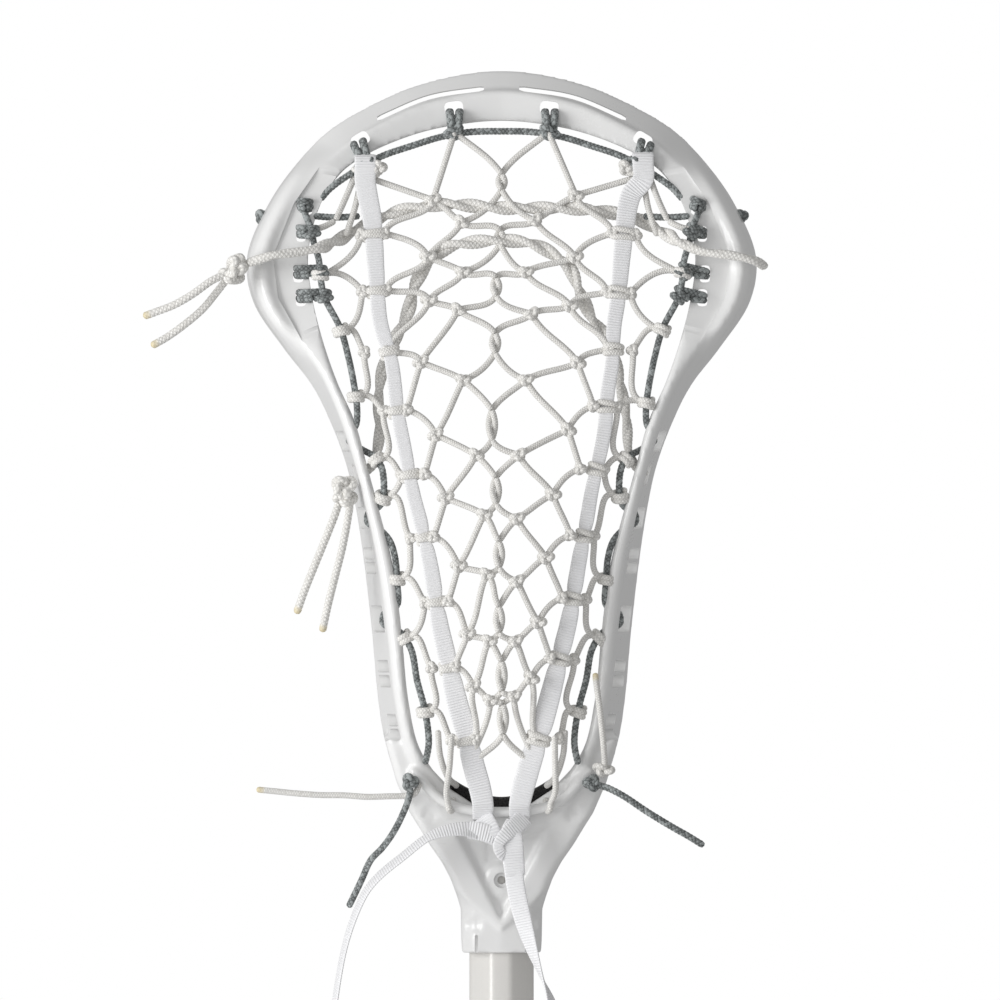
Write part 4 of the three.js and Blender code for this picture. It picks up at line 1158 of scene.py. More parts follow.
def panel_cutter(side):
    """What is cut away over the sunk panel, with a crisp edge along the crease."""
    rows = np.array(RIM)
    rings = []
    for place in np.linspace(3.6, 8.6, 70):
        outer_x, outer_height, inner_x, inner_height, ridge = (
            np.interp(place, np.arange(len(rows)), rows[:, column]) for column in range(5))
        outside, inside = np.array([outer_x, outer_height]), np.array([inner_x, inner_height])
        ledge_y = np.interp(place, np.arange(len(rows)), rows[:, 7])
        floor = ledge_y - 0.0014 * (1 - crease_at(place))
        width = np.linalg.norm(outside - inside)
        direction = (inside - outside) / width
        section = [(ridge, floor + 0.0002), (width + 0.006, floor - 0.0006), (width + 0.006, -0.05),
                   (ridge - 0.0006, -0.05)]
        rings.append(rim_section(outside, direction, section, side))
    return lofted(rings)


def rim_rings(per_span=12):
    """Sections round the whole rim, each a rounded wall and ledge."""
    rows = np.array(RIM)
    outer = spline_points(rows[:, 0:2], per_span, before=(-rows[1, 0], rows[1, 1]),
                          after=(-rows[-2, 0], rows[-2, 1]))
    inner = spline_points(rows[:, 2:4], per_span, before=(-rows[1, 2], rows[1, 3]),
                          after=(-rows[-2, 2], rows[-2, 3]))
    places = np.arange(len(outer)) / per_span
    blur = np.linspace(-0.45, 0.45, 9)
    sizes = np.stack([
        np.mean([np.interp(places + offset, np.arange(len(rows)), rows[:, column]) for offset in blur],
                axis=0) for column in range(4, 11)], axis=1)
    half = []
    for outside, inside, row, place in zip(outer, inner, sizes, places):
        ridge, front, ridge_y, ledge_y, wall, ledge, bead = row
        width = np.linalg.norm(outside - inside)
        top = ledge_y + ledge
        crease = crease_at(place)
        # The band outside the crease is a hump whose inner side meets the panel at a low step
        crown = ridge_y + 0.0004
        lip = ridge_y + 0.0008 + (ledge_y - 0.0011 - ridge_y - 0.0008) * crease
        band = []
        for share, swell in ((0.88, 0.5), (0.76, 0.14), (0.55, 0.0), (0.3, 0.0), (0.12, 0.0)):
            straight = front - 0.002 + (lip - front + 0.002) * share
            round_it = math.sqrt(max(0.0, 1 - (1 - min(share / 0.62, 1.0)) ** 2))
            humped = front - 0.002 + (crown - front + 0.002) * round_it + (lip - crown) * swell
            band.append((share * ridge, straight + (humped - straight) * crease))
        section = filleted([
            (0, front - 0.002), (0.002, front), (min(width - 0.001, wall), front),
            (min(width - 0.0002, ridge + wall - 0.001), top), (width, top - 0.0005),
            (width, ledge_y + 0.0014 * bead - PANEL_STEP * crease),
            (width - 0.0011 * bead, ledge_y + 0.0002 * bead - PANEL_STEP * crease),
            ((ridge + 0.0016 + width) / 2, ledge_y - 0.0007 * bead - PANEL_STEP * crease),
            (ridge + 0.0014 - 0.0002 * bead, ledge_y + 0.0002 * bead - PANEL_STEP * crease),
            (ridge + 0.0004 - 0.0006 * bead, lip + 0.0011 * bead), *band], 0.0011)
        half.append(rim_section(outside, (inside - outside) / width, section))
    other = [[p * (-1, 1, 1) for p in ring] for ring in half[1:-1][::-1]]
    return half + other


def throat_back(x, height, half, back):
    """y of the throat's back face, with its sunk V, its screw seat and its shallow marks."""
    side = np.abs(x)
    # The face falls away a little to each side, and its edges are rounded off
    edge = 0.0048 - 0.0026 * smoothstep((height - 0.014) / 0.012)
    y = back + np.maximum(0, edge - (half - side)) + 0.07 * side
    flange = smoothstep((height - 0.0075 - 0.86 * side) / 0.0022)
    y = y - 0.0012 * flange
    inside_v = (height - 0.0108 - 1.93 * side) / 2.17
    y = y + 0.0036 * smoothstep(inside_v / 0.0028)
    middle_panel = smoothstep((0.0068 - side) / 0.0012) * smoothstep((height - 0.0335) / 0.002)
    y = y + 0.0008 * middle_panel
    from_screw = np.hypot(x, height - SCREW_HEIGHT)
    y = y - 0.0012 * (1 - smoothstep((from_screw - 0.0056) / 0.0008))
    # A shallow square mark near each upper corner, turned with the throat's edge
    turn, mark_x, mark_height = 0.42, side - 0.0274, height - 0.0539
    a = mark_x * np.cos(turn) + mark_height * np.sin(turn)
    b = -mark_x * np.sin(turn) + mark_height * np.cos(turn)
    y = y + 0.0009 * smoothstep((0.0031 - np.maximum(np.abs(a), np.abs(b))) / 0.0009)
    from_notch = np.hypot(side - 0.0106, height - 0.0108)
    return y + 0.0014 * (1 - smoothstep((from_notch - 0.0024) / 0.0008))


def throat_rings(rows=110, columns=150):
    """Rings from the socket's lip up to the throat's inner edge, back face then front face."""
    heights, halves, fronts, backs = np.array(THROAT).T
    u = np.linspace(-1, 1, columns)
    edge = np.interp(np.abs(u), *np.array(THROAT_EDGE).T)
    rings = []
    for share in np.linspace(0, 1, rows):
        height = share * edge
        half = np.interp(height, heights, halves)
        x = u * half
        back = throat_back(x, height, half, np.interp(height, heights, backs))
        front = np.interp(height, heights, fronts) - np.maximum(0, 0.0045 - (half - np.abs(x)))
        ring = [at(*p) for p in zip(x, back, height)]
        ring += [at(*p) for p in zip(x[::-1], front[::-1], height[::-1])]
        rings.append(ring)
    return rings


def strip_capped(rings):
    """Like lofted, but each end is closed by quads between the ring's two halves."""
    points, faces = lofted(rings)
    faces = faces[:-2]
    count = len(rings[0])
    last = (len(rings) - 1) * count
    for i in range(count // 2 - 1):
        j = count - 1 - i
        faces.append((i + 1, i, j, j - 1))
        faces.append((last + i, last + i + 1, last + j - 1, last + j))
    return points, faces


def round_bar(line, width, sides=20):
    """A plain round bar along a line."""
    _, normals, across = side_frames(line)
    angles = np.linspace(0, 2 * math.pi, sides, endpoint=False)
    return lofted([[centre + width / 2 * (math.cos(a) * normal + math.sin(a) * sideways)
                    for a in angles] for centre, normal, sideways in zip(line, normals, across)])


def rounded_box(centre, along, up, half_width, half_height, half_length, radius):
    """A block for cutting a round-cornered hole along a direction."""
    along = np.array(along, float)
    up = np.array(up, float)
    across = np.cross(along, up)
    outline = filleted([(-half_width, -half_height), (half_width, -half_height),
                        (half_width, half_height), (-half_width, half_height)], radius, 6)
    return lofted([[centre + across * a + up * b + along * end for a, b in outline]
                   for end in (-half_length, half_length)])


def head_cutters():
    """Two sets of cutting blocks, each without overlaps."""
    octagon = [[(x, y, z) for x, y in shaft_outline(0.0003)] for z in (LIP - 0.002, SHAFT_HIGH + 0.0003)]
    first = [lofted(octagon)]
    for side in (-1, 1):
        for x, height, half_width, half_height, turn in LEDGE_HOLES:
            up = (math.sin(-side * turn), 0, math.cos(turn))
            first.append(rounded_box(at(side * x, -0.008, height), (0, 1, 0), up, half_width,
                                     half_height, 0.03, min(half_width, half_height) * 0.8))
        for height, y, half_depth, half_height in WALL_HOLES:
            first.append(rounded_box(at(side * 0.05, y, height), (1, 0, 0), (0, 0, 1), half_depth,
                                     half_height, 0.022, 0.0017))
        slot = smooth_path([at(side * 0.0068, 0, 0.3332), at(side * 0.028, 0, 0.3298),
                            at(side * 0.048, 0, 0.3214)], 0.002)
        rings = []
        for index, middle in enumerate(slot):
            half = 0.0009 * min(1.0, 0.6 + 0.4 * min(index, len(slot) - 1 - index))
            section = [(-0.012, -half), (-0.012, half + 0.0012), (0.02, half - 0.0006), (0.02, -half)]
            rings.append([middle + np.array([0, y, z]) for y, z in section])
        first.append(lofted(rings))
        first.append(rounded_box(at(side * 0.0097, -0.0175, 0.003), (0, 1, 0), (0, 0, 1), 0.0006,
                                 0.0038, 0.0022, 0.0005))
    seat = [(0.0030, -0.030), (0.0030, -0.0160), (0.0016, -0.0160), (0.0016, -0.0090)]
    rings = [[at(radius * math.cos(a), y, SCREW_HEIGHT + radius * math.sin(a))
              for a in np.linspace(0, 2 * math.pi, 40, endpoint=False)] for radius, y in seat]
    return first, [lofted(rings), panel_cutter(-1), panel_cutter(1)]


def build_head():
    """The moulded shell: one smooth body, then its holes are cut crisply."""
    rail = along_head(THROAT_RAIL, 0.0015)
    body = gathered([lofted(rim_rings(), closed=True), strip_capped(throat_rings()),
                     round_bar(rail, 0.0042)])
    shell = bpy.data.objects.new("shell", faced_outwards(mesh_of("shell", *body)))
    bpy.context.scene.collection.objects.link(shell)
    grain = shell.modifiers.new("grain", "REMESH")
    grain.mode = "VOXEL"
    grain.voxel_size = sizes().voxel
    soft = shell.modifiers.new("soft", "SMOOTH")
    soft.factor = 0.5
    soft.iterations = 5
    tools = []
    for number, blocks in enumerate(head_cutters()):
        cutter = faced_outwards(mesh_of("cutter", *gathered(blocks)))
        tool = bpy.data.objects.new(f"cutter_{number}", cutter)
        bpy.context.scene.collection.objects.link(tool)
        tools.append(tool)
        cut = shell.modifiers.new(f"cut_{number}", "BOOLEAN")
        cut.operation = "DIFFERENCE"
        cut.solver = "MANIFOLD"
        cut.object = tool
    mesh = plain_mesh(shell)
    for tool in tools:
        bpy.data.objects.remove(tool)
    if len(mesh.polygons) < 1000:
        raise RuntimeError("the head's shell came out empty")
    mark_creases(mesh, 42)
    piece("head_shell", mesh, ["head_frame"], "head_plastic")


# Grey strings

def top_hitches():
    """Doubled loops of the top string through the scoop's four holes, each with its knot."""
    lines = []
    for side in (-1, 1):
        for x, height, y, lean, drop in ((0.0184, 0.3200, 0.0030, 0.0, 0.0044),
                                         (0.0540, 0.3078, -0.0020, 0.34, 0.0048)):
            up = np.array([side * math.sin(lean), 0, math.cos(lean)])
            across = np.array([up[2], 0, -up[0]])
            for offset, slant in ((-0.0015, 0.0016), (0.0015, -0.0014)):
                centre = at(side * x, y, height) + across * offset
                for again in (0.0, 0.0006):
                    lines.append(loop_round(centre + across * again, across + up * slant * 60, up,
                                            0.0052 + again, drop, 1.0, phase=math.pi / 2))
            foot = at(side * x, y - 0.0070, height) - up * (drop - 0.0004)
            lines.append(knot_path(foot, (0.0070, 0.0030, 0.0038), turn=0.5 * side))
    return lines


def build_top_string():
    other_half = [(-x, y, height) for x, y, height in TOP_STRING[-2::-1]]
    line = along_head(TOP_STRING + other_half)
    mesh = braided("top_cord", [line, *top_hitches()], sizes().cord, "grey_cord")
    piece("top_cord", mesh, ["top_string"])


def sidewall_path(side):
    """The sidewall string, which dips towards windows of the wall on its way down."""
    return smooth_path([at(-side * x, y, height) for x, y, height in SIDEWALL_STRING])


def string_at(side, height):
    """The sidewall string's place at a height, and its direction there."""
    line = sidewall_path(side)
    index = int(np.argmin(np.abs(line[:, 2] - LIP - height)))
    ahead = line[min(index + 3, len(line) - 1)] - line[max(index - 3, 0)]
    return line[index], ahead / np.linalg.norm(ahead)


def sidewall_lines(side):
    """The sidewall string, its hitches round the ledge and the stub to its stopper knot."""
    def put(x, y, height):
        return at(-side * x, y, height)
    lines = [sidewall_path(side)]
    for x, height, _, _, _ in LEDGE_HOLES[2:]:
        ledge_y = np.interp(height, [row[1] for row in RIM[8:3:-1]], [row[7] for row in RIM[8:3:-1]])
        string, _ = string_at(side, height)
        middle = (abs(string[0]) + x) / 2
        reach = max(0.0022, (x - abs(string[0])) / 2 + 0.0008)
        for lift, rise, turns, deep in ((0.0012, 0.0038, 1.3, 0.0040), (0.0002, -0.0016, 1.0, 0.0034)):
            lines.append(loop_round(put(-middle, ledge_y + 0.0014, height + lift), (side * 0.14, 0, 1),
                                    BACK, reach, deep, turns, rise=rise, phase=0.5 * math.pi))
        lines.append(loop_round(string + (0, 0, 0.0004), (side * 0.5, 0, 1), BACK, 0.0022, 0.0026,
                                1.3, rise=0.0030))
    # From the first hitch the string runs inwards to the runner, and out to a stopper knot
    lines.append(smooth_path([put(-0.0725, -0.0125, 0.2838), put(-0.064, -0.0105, 0.2833),
                              put(-0.0545, -0.009, 0.2838)]))
    lines.append(knot_path(put(-0.0925, 0.0035, 0.2838), (0.0034, 0.0030, 0.0040), turn=0.3))
    return lines


def build_sidewall_strings():
    for side, name in ((-1, "left"), (1, "right")):
        mesh = braided(f"{name}_sidewall_cord", sidewall_lines(side), sizes().cord, "grey_cord")
        piece(f"{name}_sidewall_cord", mesh, [f"{name}_sidewall_string"])


# Shooting strings

def build_shooting_strings():
    """Two strands twisted together for each string, and lying over each other on the rim."""
    for name, points, rim in (("upper", UPPER_SHOOTER, 0.074), ("lower", LOWER_SHOOTER, 0.051)):
        line = along_head(points)
        apart = 0.00035 + 0.0009 * smoothstep((rim - np.abs(line[:, 0])) / 0.008)
        lines = [wound_round(line, apart[:, None], sizes().twist, phase) for phase in (0.4, 0.4 + math.pi)]
        mesh = braided(f"{name}_shooter", lines, sizes().strand, "white_cord")
        piece(f"{name}_shooter", mesh, [f"{name}_shooting_string"])


# Runners

def ribbed_tape(line, widths, turns=None):
    """Points, faces and map of a woven tape: broad side to the back, plus a turn in degrees."""
    tangents, normals, _ = side_frames(line)
    turns = np.zeros(len(line)) if turns is None else turns
    run = run_along(line)
    angles = np.linspace(0, 2 * math.pi, 22, endpoint=False)
    shape = [(math.copysign(abs(math.cos(a)) ** 0.45, math.cos(a)),
              math.copysign(abs(math.sin(a)) ** 0.75, math.sin(a))) for a in angles]
    rings = []
    for place, tangent, normal, width, turn, far in zip(line, tangents, normals, widths, turns, run):
        back = np.array(BACK, float)
        back -= tangent * back.dot(tangent)
        back = normal if np.linalg.norm(back) < 0.25 else back / np.linalg.norm(back)
        up = np.array(Matrix.Rotation(math.radians(turn), 3, Vector(tangent))) @ back
        out = np.cross(up, tangent)
        swell = 1 + 0.12 * math.sin(2 * math.pi * far / TAPE_RIB)
        rings.append([place + out * (u * width / 2) + up * (v * TAPE_THICKNESS / 2 * swell)
                      for u, v in shape])
    points, faces = lofted(rings)
    count = len(shape)
    maps = []
    for ring in range(len(rings) - 1):
        for corner in range(count):
            spread = [shape[corner][0], shape[(corner + 1) % count][0]]
            low, high = run[ring] / TAPE_RIB, run[ring + 1] / TAPE_RIB
            maps += [(low, spread[0]), (low, spread[1]), (high, spread[1]), (high, spread[0])]
    maps += [(0.0, 0.0)] * (2 * count)
    return points, faces, maps


def tape_mesh(name, parts):
    """One mesh of several tapes."""
    points, faces = gathered([part[:2] for part in parts])
    maps = [pair for part in parts for pair in part[2]]
    mesh = faced_outwards(mesh_of(name, points, faces, maps))
    mesh.shade_smooth()
    return mesh


def runner_line(side):
    points = LEFT_RUNNER if side < 0 else RIGHT_RUNNER
    return smooth_path([on_pocket(x, height) for x, height in points], RUNNER_STEP)


def pinch_at(tie):
    """How much narrower a runner is where a lace is tied round it at that height."""
    return 0.0006 if tie > 0.17 else 0.0018


def runner_place(line, height):
    """The point of a runner at a height, and its direction there."""
    index = int(np.argmin(np.abs(line[:, 2] - LIP - height)))
    index = min(max(index, 1), len(line) - 2)
    return line[index], line[index + 1] - line[index - 1]


def build_runners():
    """Each runner is folded over the top string, pinched by its ties and wound round the rail."""
    for side, name in ((-1, "left"), (1, "right")):
        points = LEFT_RUNNER if side < 0 else RIGHT_RUNNER
        route = [on_pocket(x, height, -0.0012) for x, height in points]
        first, last_x = route[0] + (0, 0.0012, 0), points[-1][0]
        fold = [first + (0, 0.0050, -0.0060), first + (0, 0.0046, 0.0014), first + (0, 0.0018, 0.0056),
                first + (0, -0.0030, 0.0056), first + (0, -0.0048, 0.0016), first + (0, -0.0040, -0.0040)]
        route = route[1:]
        wrap = [at(last_x, -0.0296, 0.0540), at(last_x, -0.0276, 0.0520), at(last_x, -0.0248, 0.0518),
                at(last_x, -0.0234, 0.0545)]
        line = smooth_path([*fold, *route, *wrap], RUNNER_STEP)
        heights = line[:, 2] - LIP
        widths = np.interp(heights, *np.array(TAPE_WIDTHS).T)
        for _, tie in RUNNER_TIES[side]:
            widths -= pinch_at(tie) * np.exp(-((heights - tie) / 0.0032) ** 2)
        mesh = tape_mesh(f"{name}_runner_tape", [ribbed_tape(line, widths)])
        piece(f"{name}_runner_tape", mesh, [f"{name}_runner"], "white_tape")


# The pocket's net

def leg(start, leaves, end, arrives, lifts=(0.0, 0.0), pull=0.36):
    """A lace between two places (x, height) of the pocket, with its direction given at both."""
    start, end = np.array(start), np.array(end)
    reach = pull * np.linalg.norm(end - start)
    first = start + reach * np.array(leaves) / np.linalg.norm(leaves)
    last = end - reach * np.array(arrives) / np.linalg.norm(arrives)
    line = []
    for t in np.linspace(0, 1, 24):
        x, height = ((1 - t) ** 3 * start + 3 * (1 - t) ** 2 * t * first + 3 * (1 - t) * t ** 2 * last
                     + t ** 3 * end)
        line.append(on_pocket(x, height, lifts[0] * (1 - t) + lifts[1] * t))
    return np.array(line)


def net_knot(knot, turn, size=1.0, lift=-0.0004):
    """The lump of an overhand knot."""
    shape = tuple(size * value for value in (0.0052, 0.0024, 0.0031))
    return knot_path(on_pocket(*knot, lift), shape, turn=turn)


def inner_lump(side, tie):
    """The knot at the inner edge of a runner, where the middle's laces are tied to it."""
    return tie[0] - side * 0.0042, tie[1] + 0.0004


def outer_lump(side, tie):
    """The knot at the outer edge of a runner, where the laces from the sidewall are tied to it."""
    return tie[0] + side * 0.0048, tie[1] - 0.0002


def middle_laces():
    """The two laces of the middle. At each twist they cross, lie side by side and cross back."""
    lines = []
    radius = 0.00125
    for side in (-1, 1):
        place = (side * 0.0184, 0.3165)
        for index, (x, top, bottom) in enumerate(CENTRE_TWISTS):
            lines.append(leg(place, (-side * 0.75, -0.66), (x, top), (-side * 0.55, -0.83),
                             (0.0, side * radius)))
            turn = []
            for angle in np.linspace(0.5 * math.pi, 1.5 * math.pi, 13):
                middle = on_pocket(x, top + (bottom - top) * (angle / math.pi - 0.5))
                turn.append(middle + side * radius * np.array([math.cos(angle), math.sin(angle), 0]))
            lines.append(np.array(turn))
            if index < len(INNER_KNOTS[side]):
                place = INNER_KNOTS[side][index]
                lines.append(leg((x, bottom), (side * 0.5, -0.87), place, (side * 0.95, -0.3),
                                 (-side * radius, 0.0)))
            else:
                foot, _ = runner_place(runner_line(side), 0.073)
                lines.append(leg((x, bottom), (side * 0.4, -0.9), (foot[0], 0.073), (side * 0.6, -0.8)))
    return lines


def build_centre_lace():
    lines = middle_laces()
    for side in (-1, 1):
        outer, inner, ties = OUTER_KNOTS[side], INNER_KNOTS[side], RUNNER_TIES[side]
        for index, knot in enumerate(outer):
            lines.append(net_knot(knot, side * (0.3 + 0.3 * math.sin(5.0 * index)), lift=-0.0006))
            lines.append(leg(knot, (-side * 0.9, -0.42), inner[index], (-side * 0.85, -0.5)))
            lines.append(leg(knot, (side * 0.3, -0.95), inner_lump(side, ties[index]),
                             (side * 0.3, -0.95), (-0.0004, -0.0004)))
            if index + 1 < len(outer):
                after = outer[index + 1]
                lines.append(leg(inner[index], (side * 0.45, -0.9), after, (side * 0.55, -0.83),
                                 (0.0006, 0.0006)))
                lines.append(leg(inner_lump(side, ties[index]), (-side * 0.95, -0.3), after,
                                 (-side * 0.45, -0.9), (0.0006, 0.0006)))
        for index, knot in enumerate(inner):
            lines.append(net_knot(knot, -side * (0.3 + 0.4 * math.sin(3.0 * index + 1)), 0.94))
        foot, _ = runner_place(runner_line(side), 0.078)
        lines.append(leg(inner[-1], (side * 0.05, -1), (foot[0] - side * 0.0015, 0.078), (side * 0.4, -0.9)))
        lines.append(smooth_path([at(side * 0.0180, -0.005, 0.3165), on_pocket(*outer[0])]))
        head, _ = runner_place(runner_line(side), 0.299)
        lines.append(smooth_path([head, on_pocket(*outer[0])]))
    mesh = braided("pocket_net", lines, sizes().lace, "white_lace")
    piece("pocket_net", mesh, ["centre_lace"])


def side_lace_lines(side):
    """From tie to tie down the runner, out to a doubled loop round the sidewall string each time."""
    ties, loops = RUNNER_TIES[side], STRING_LOOPS[side]
    runner = runner_line(side)
    lines = []
    for index, tie in enumerate(ties):
        lump = outer_lump(side, tie)
        if index < len(loops):
            string, along = string_at(side, loops[index])
            loop = (string[0] - side * 0.0022, loops[index] + 0.0006)
            lines.append(leg(lump, (side * 0.15, -1), loop, (side * 0.9, -0.5), (-0.0004, -0.0004)))
            lines.append(leg(loop, (-side * 0.9, 0.25), outer_lump(side, ties[index + 1]),
                             (-side * 0.62, -0.78), (0.0004, 0.0004)))
            lines.append(loop_round(string, along, BACK, 0.0024, 0.0026, 2.0, rise=0.0036,
                                    phase=math.pi))
        place, direction = runner_place(runner, tie[1])
        pinched = np.interp(tie[1], *np.array(TAPE_WIDTHS).T) - pinch_at(tie[1])
        reach = pinched / 2 + 0.0009
        place = place + np.array([0, -0.0010, 0])
        direction /= np.linalg.norm(direction)
        for shift, rise in ((-0.0010, 0.0016), (0.0010, -0.0016)):
            lines.append(loop_round(place + direction * shift, direction, BACK, reach, 0.0015, 1.0,
                                    rise=rise * side))
        for spot, turn in ((lump, 0.9), (inner_lump(side, tie), -0.7)):
            lines.append(knot_path(on_pocket(*spot, -0.0006), (0.0031, 0.0022, 0.0030),
                                   turn=turn + 0.3 * index))
    return lines


def build_side_laces():
    for side, name in ((-1, "left"), (1, "right")):
        lines = side_lace_lines(side)
        # A short pair of laces from the runner's head to the first hitch, with the tie at its top
        top = runner_place(runner_line(side), 0.2985)[0]
        lines.append(smooth_path([top + (side * 0.0030, 0.0015, 0.004), at(side * 0.0600, -0.0095, 0.291),
                                  at(side * 0.0640, -0.0125, 0.282)]))
        lines.append(smooth_path([top + (side * 0.0018, 0.0020, 0.000), at(side * 0.0565, -0.0095, 0.287),
                                  at(side * 0.0600, -0.0125, 0.276)]))
        lines.append(smooth_path([at(side * 0.0640, -0.0125, 0.282), at(side * 0.0690, -0.0145, 0.2795),
                                  at(side * 0.0735, -0.0150, 0.2785)]))
        lines.append(knot_path(top + (-side * 0.0050, -0.0022, 0.0040), (0.0044, 0.0030, 0.0042), turn=0.4))
        lines.append(loop_round(top + (0, -0.0012, 0.0026), (-side * 0.15, 0, 1), BACK,
                                0.0048, 0.0018, 1.0, rise=0.002))
        mesh = braided(f"{name}_side_net", lines, sizes().lace, "white_lace")
        piece(f"{name}_side_net", mesh, [f"{name}_side_lace"])


def build_throat_laces():
    """The laces that tie the pocket's foot to the rail across the throat."""
    for name, points in BOTTOM_LACES.items():
        side = -1 if name.startswith("left") else 1
        foot = abs(points[-1][0])
        round_rail = [(side * (foot - 0.0002), -0.0306, 0.0580), (side * (foot - 0.0006), -0.0298, 0.0556),
                      (side * (foot - 0.0014), -0.0272, 0.0546), (side * (foot - 0.0020), -0.0240, 0.0562),
                      (side * (foot - 0.0022), -0.0228, 0.0600)]
        lines = [along_head(points[:-1] + round_rail)]
        lines.append(along_head([(side * 0.0245, -0.034, 0.086), (side * 0.0236, -0.030, 0.076),
                                 (side * 0.0208, -0.024, 0.068), (side * 0.0170, -0.016, 0.0640)]))
        mesh = braided(f"{name}_tie", lines, sizes().lace, "white_lace")
        piece(f"{name}_tie", mesh, [name])


# Free tails and the knots that hold them

# Finish, width and the knot that each tail comes out of
TAIL_KINDS = {
    "upper_shooter_tail_a": ("white_cord", "strand", "upper_shooter_knot"),
    "upper_shooter_tail_b": ("white_cord", "strand", "upper_shooter_knot"),
    "lower_shooter_tail_a": ("white_cord", "strand", "lower_shooter_knot"),
    "lower_shooter_tail_b": ("white_cord", "strand", "lower_shooter_knot"),
    "left_sidewall_tail": ("grey_cord", "cord", "left_sidewall_knot"),
    "right_sidewall_tail": ("grey_cord", "cord", "right_sidewall_knot"),
    "bottom_lace_tail": ("white_lace", "lace", None),
    "bottom_knot_tail": ("white_lace", "lace", "bottom_lace_knot"),
}


def middle_of(node):
    low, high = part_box(node)
    return np.array((low + high) / 2)


def build_tails():
    for name, points in TAILS.items():
        finish, size, knot = TAIL_KINDS[name]
        width = getattr(sizes(), size)
        route = [at(*point) for point in points]
        if knot:
            middle = middle_of(knot)
            route = [middle + (route[0] - middle) * 0.35, *route]
        line = smooth_path(route)
        melted = 0.0 if finish == "grey_cord" else MELTED_END
        mesh = braided(f"{name}_cord", [line], width, finish, melted)
        made = piece(f"{name}_cord", mesh, [name])


def build_tape_tails():
    for name, points in TAPE_TAILS.items():
        line = along_head(points, TAPE_STEP)
        turns = np.interp(np.linspace(0, 1, len(line)), np.linspace(0, 1, len(TAPE_TURNS[name])),
                          TAPE_TURNS[name])
        tape = ribbed_tape(line, np.full(len(line), sizes().tape), turns)
        mesh = tape_mesh(f"{name}_tape", [tape])
        made = piece(f"{name}_tape", mesh, [name], "white_tape")


# Knots: CAD node, finish, width, and lumps as (offset from its middle, size, turn, lean)
KNOTS = {
    "upper_shooter_knot": ("white_cord", "strand", [
        ((0.0004, 0.0, 0.0010), (0.0066, 0.0050, 0.0092), 0.35, 0.0),
        ((-0.0012, 0.0, -0.0014), (0.0052, 0.0060, 0.0074), 1.6, 0.5),
        ((0.0010, -0.0010, 0.0028), (0.0050, 0.0040, 0.0050), 0.9, -0.6)]),
    "lower_shooter_knot": ("white_cord", "strand", [
        ((0.0, 0.0, 0.0014), (0.0078, 0.0052, 0.0084), 0.0, 0.0),
        ((0.0004, 0.0, -0.0024), (0.0060, 0.0058, 0.0068), 1.2, 0.4),
        ((-0.0010, -0.0012, 0.0010), (0.0060, 0.0040, 0.0060), 0.7, -0.5)]),
    "left_sidewall_knot": ("grey_cord", "cord", [((0.0, 0.0, 0.0), (0.0048, 0.0036, 0.0050), 0.5, 0.0)]),
    "right_sidewall_knot": ("grey_cord", "cord", [((0.0, 0.0, 0.0), (0.0048, 0.0036, 0.0050), -0.5, 0.0)]),
    "bottom_lace_knot": ("white_lace", "lace", [((0.0, 0.0, 0.0), (0.0074, 0.0034, 0.0034), 0.2, 0.0)]),
}


def build_knots():
    for node, (finish, size, lumps) in KNOTS.items():
        middle = middle_of(node)
        lines = [knot_path(middle + np.array(offset), shape, turn, lean)
                 for offset, shape, turn, lean in lumps]
        mesh = braided(f"{node}_wound", lines, getattr(sizes(), size), finish)
        piece(f"{node}_wound", mesh, [node])
    for name, bands in RUNNER_FOLDS.items():
        folds = []
        for breadths, points in bands:
            line = along_head(points, TAPE_STEP)
            share = np.linspace(0, 1, len(line))
            widths = np.interp(share, np.linspace(0, 1, len(breadths)), breadths)
            folds.append(ribbed_tape(line, widths))
        mesh = tape_mesh(f"{name}_folds", folds)
        piece(f"{name}_folds", mesh, [name], "white_tape")


# The add-on's operators and panel

class STICK_OT_stage(bpy.types.Operator):
    """Adds the camera, the lights and the floor"""
    bl_idname = "stick.stage"
    bl_label = "Stage"

    def execute(self, context):
        add_stage()
        return {"FINISHED"}


class STICK_OT_tails(bpy.types.Operator):
    """Adds the free tails of cord, lace and tape at their real lengths"""
    bl_idname = "stick.tails"
    bl_label = "Free tails"

    def execute(self, context):
        build_tails()
        build_tape_tails()
        return {"FINISHED"}


class STICK_OT_shaft(bpy.types.Operator):
    """Adds the octagonal shaft, its end cap and the throat's screw"""
    bl_idname = "stick.shaft"
    bl_label = "Shaft, cap and screw"

    def execute(self, context):
        build_shaft()
        build_cap()
        build_screw()
        return {"FINISHED"}


class STICK_OT_head(bpy.types.Operator):
    """Adds the moulded shell of the head, with its holes, windows and slots"""
    bl_idname = "stick.head"
    bl_label = "Head shell"

    def execute(self, context):
        build_head()
        return {"FINISHED"}


class STICK_OT_ball_stop(bpy.types.Operator):
    """Adds the foam pad inside the throat"""
    bl_idname = "stick.ball_stop"
    bl_label = "Ball stop"

    def execute(self, context):
        build_ball_stop()
        return {"FINISHED"}


class STICK_OT_grey_strings(bpy.types.Operator):
    """Adds the braided top string and the two sidewall strings"""
    bl_idname = "stick.grey_strings"
    bl_label = "Top and sidewall strings"

    def execute(self, context):
        build_top_string()
        build_sidewall_strings()
        return {"FINISHED"}


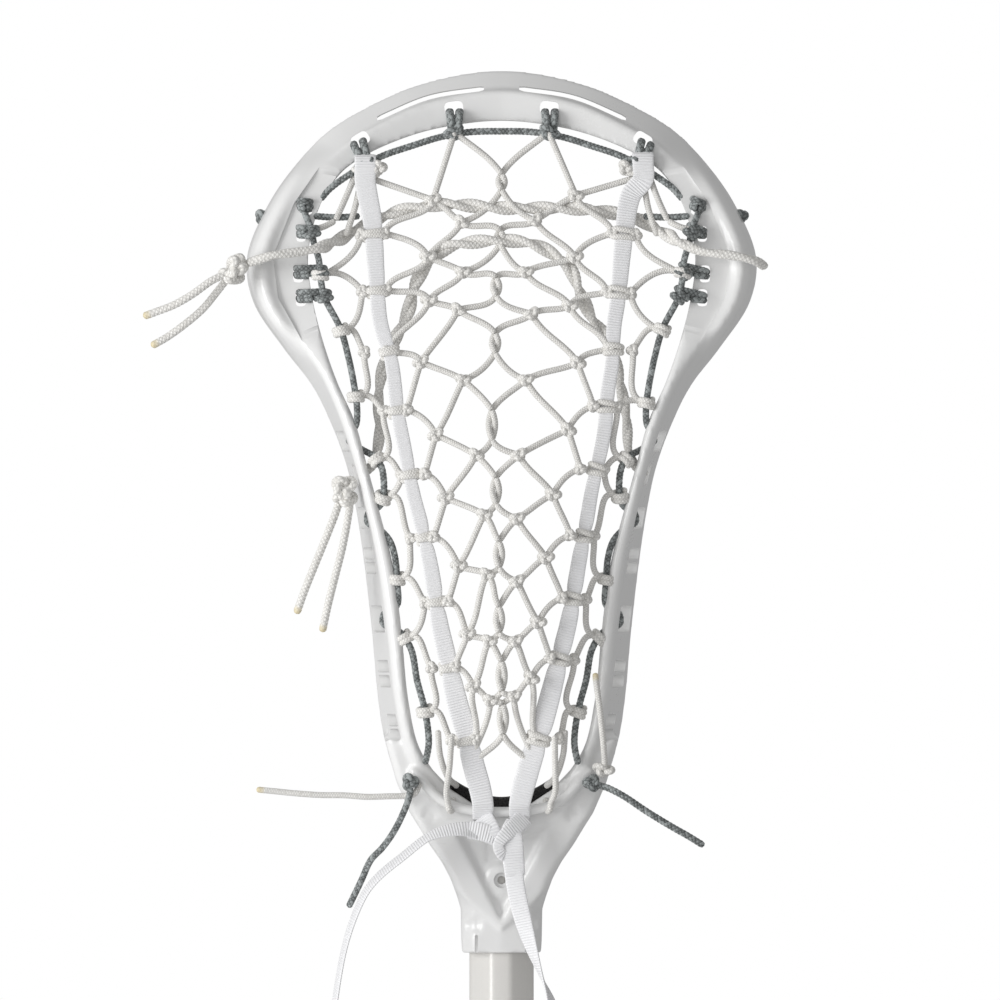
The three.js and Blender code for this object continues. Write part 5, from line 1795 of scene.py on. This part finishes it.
class STICK_OT_shooting_strings(bpy.types.Operator):
    """Adds the two twisted shooting strings"""
    bl_idname = "stick.shooting_strings"
    bl_label = "Shooting strings"

    def execute(self, context):
        build_shooting_strings()
        return {"FINISHED"}


class STICK_OT_runners(bpy.types.Operator):
    """Adds the two woven runners"""
    bl_idname = "stick.runners"
    bl_label = "Runners"

    def execute(self, context):
        build_runners()
        return {"FINISHED"}


class STICK_OT_net(bpy.types.Operator):
    """Adds the pocket's knotted laces and their ties to the runners and strings"""
    bl_idname = "stick.net"
    bl_label = "Pocket laces"

    def execute(self, context):
        build_centre_lace()
        build_side_laces()
        build_throat_laces()
        return {"FINISHED"}


class STICK_OT_knots(bpy.types.Operator):
    """Adds the knots that hold the tails"""
    bl_idname = "stick.knots"
    bl_label = "Knots"

    def execute(self, context):
        build_knots()
        return {"FINISHED"}


OPERATORS = [STICK_OT_stage, STICK_OT_tails, STICK_OT_shaft, STICK_OT_head, STICK_OT_ball_stop,
             STICK_OT_grey_strings, STICK_OT_shooting_strings, STICK_OT_runners, STICK_OT_net,
             STICK_OT_knots]


class STICK_PT_panel(bpy.types.Panel):
    """The stick's sizes, colours and pieces"""
    bl_idname = "STICK_PT_panel"
    bl_label = "Lacrosse stick"
    bl_space_type = "VIEW_3D"
    bl_region_type = "UI"
    bl_category = "Stick"

    def draw(self, context):
        for group in (context.scene.stick_sizes, context.scene.stick_colours):
            for name in group.__annotations__:
                self.layout.prop(group, name)
        for operator in OPERATORS:
            self.layout.operator(operator.bl_idname)


CLASSES = [StickSizes, StickColours, *OPERATORS, STICK_PT_panel]


def register():
    for made in CLASSES:
        bpy.utils.register_class(made)
    bpy.types.Scene.stick_sizes = bpy.props.PointerProperty(type=StickSizes)
    bpy.types.Scene.stick_colours = bpy.props.PointerProperty(type=StickColours)


def unregister():
    del bpy.types.Scene.stick_colours
    del bpy.types.Scene.stick_sizes
    for made in reversed(CLASSES):
        bpy.utils.unregister_class(made)


def main():
    register()
    for operator in OPERATORS:
        group, name = operator.bl_idname.split(".")
        getattr(getattr(bpy.ops, group), name)()


if __name__ == "__main__":
    main()
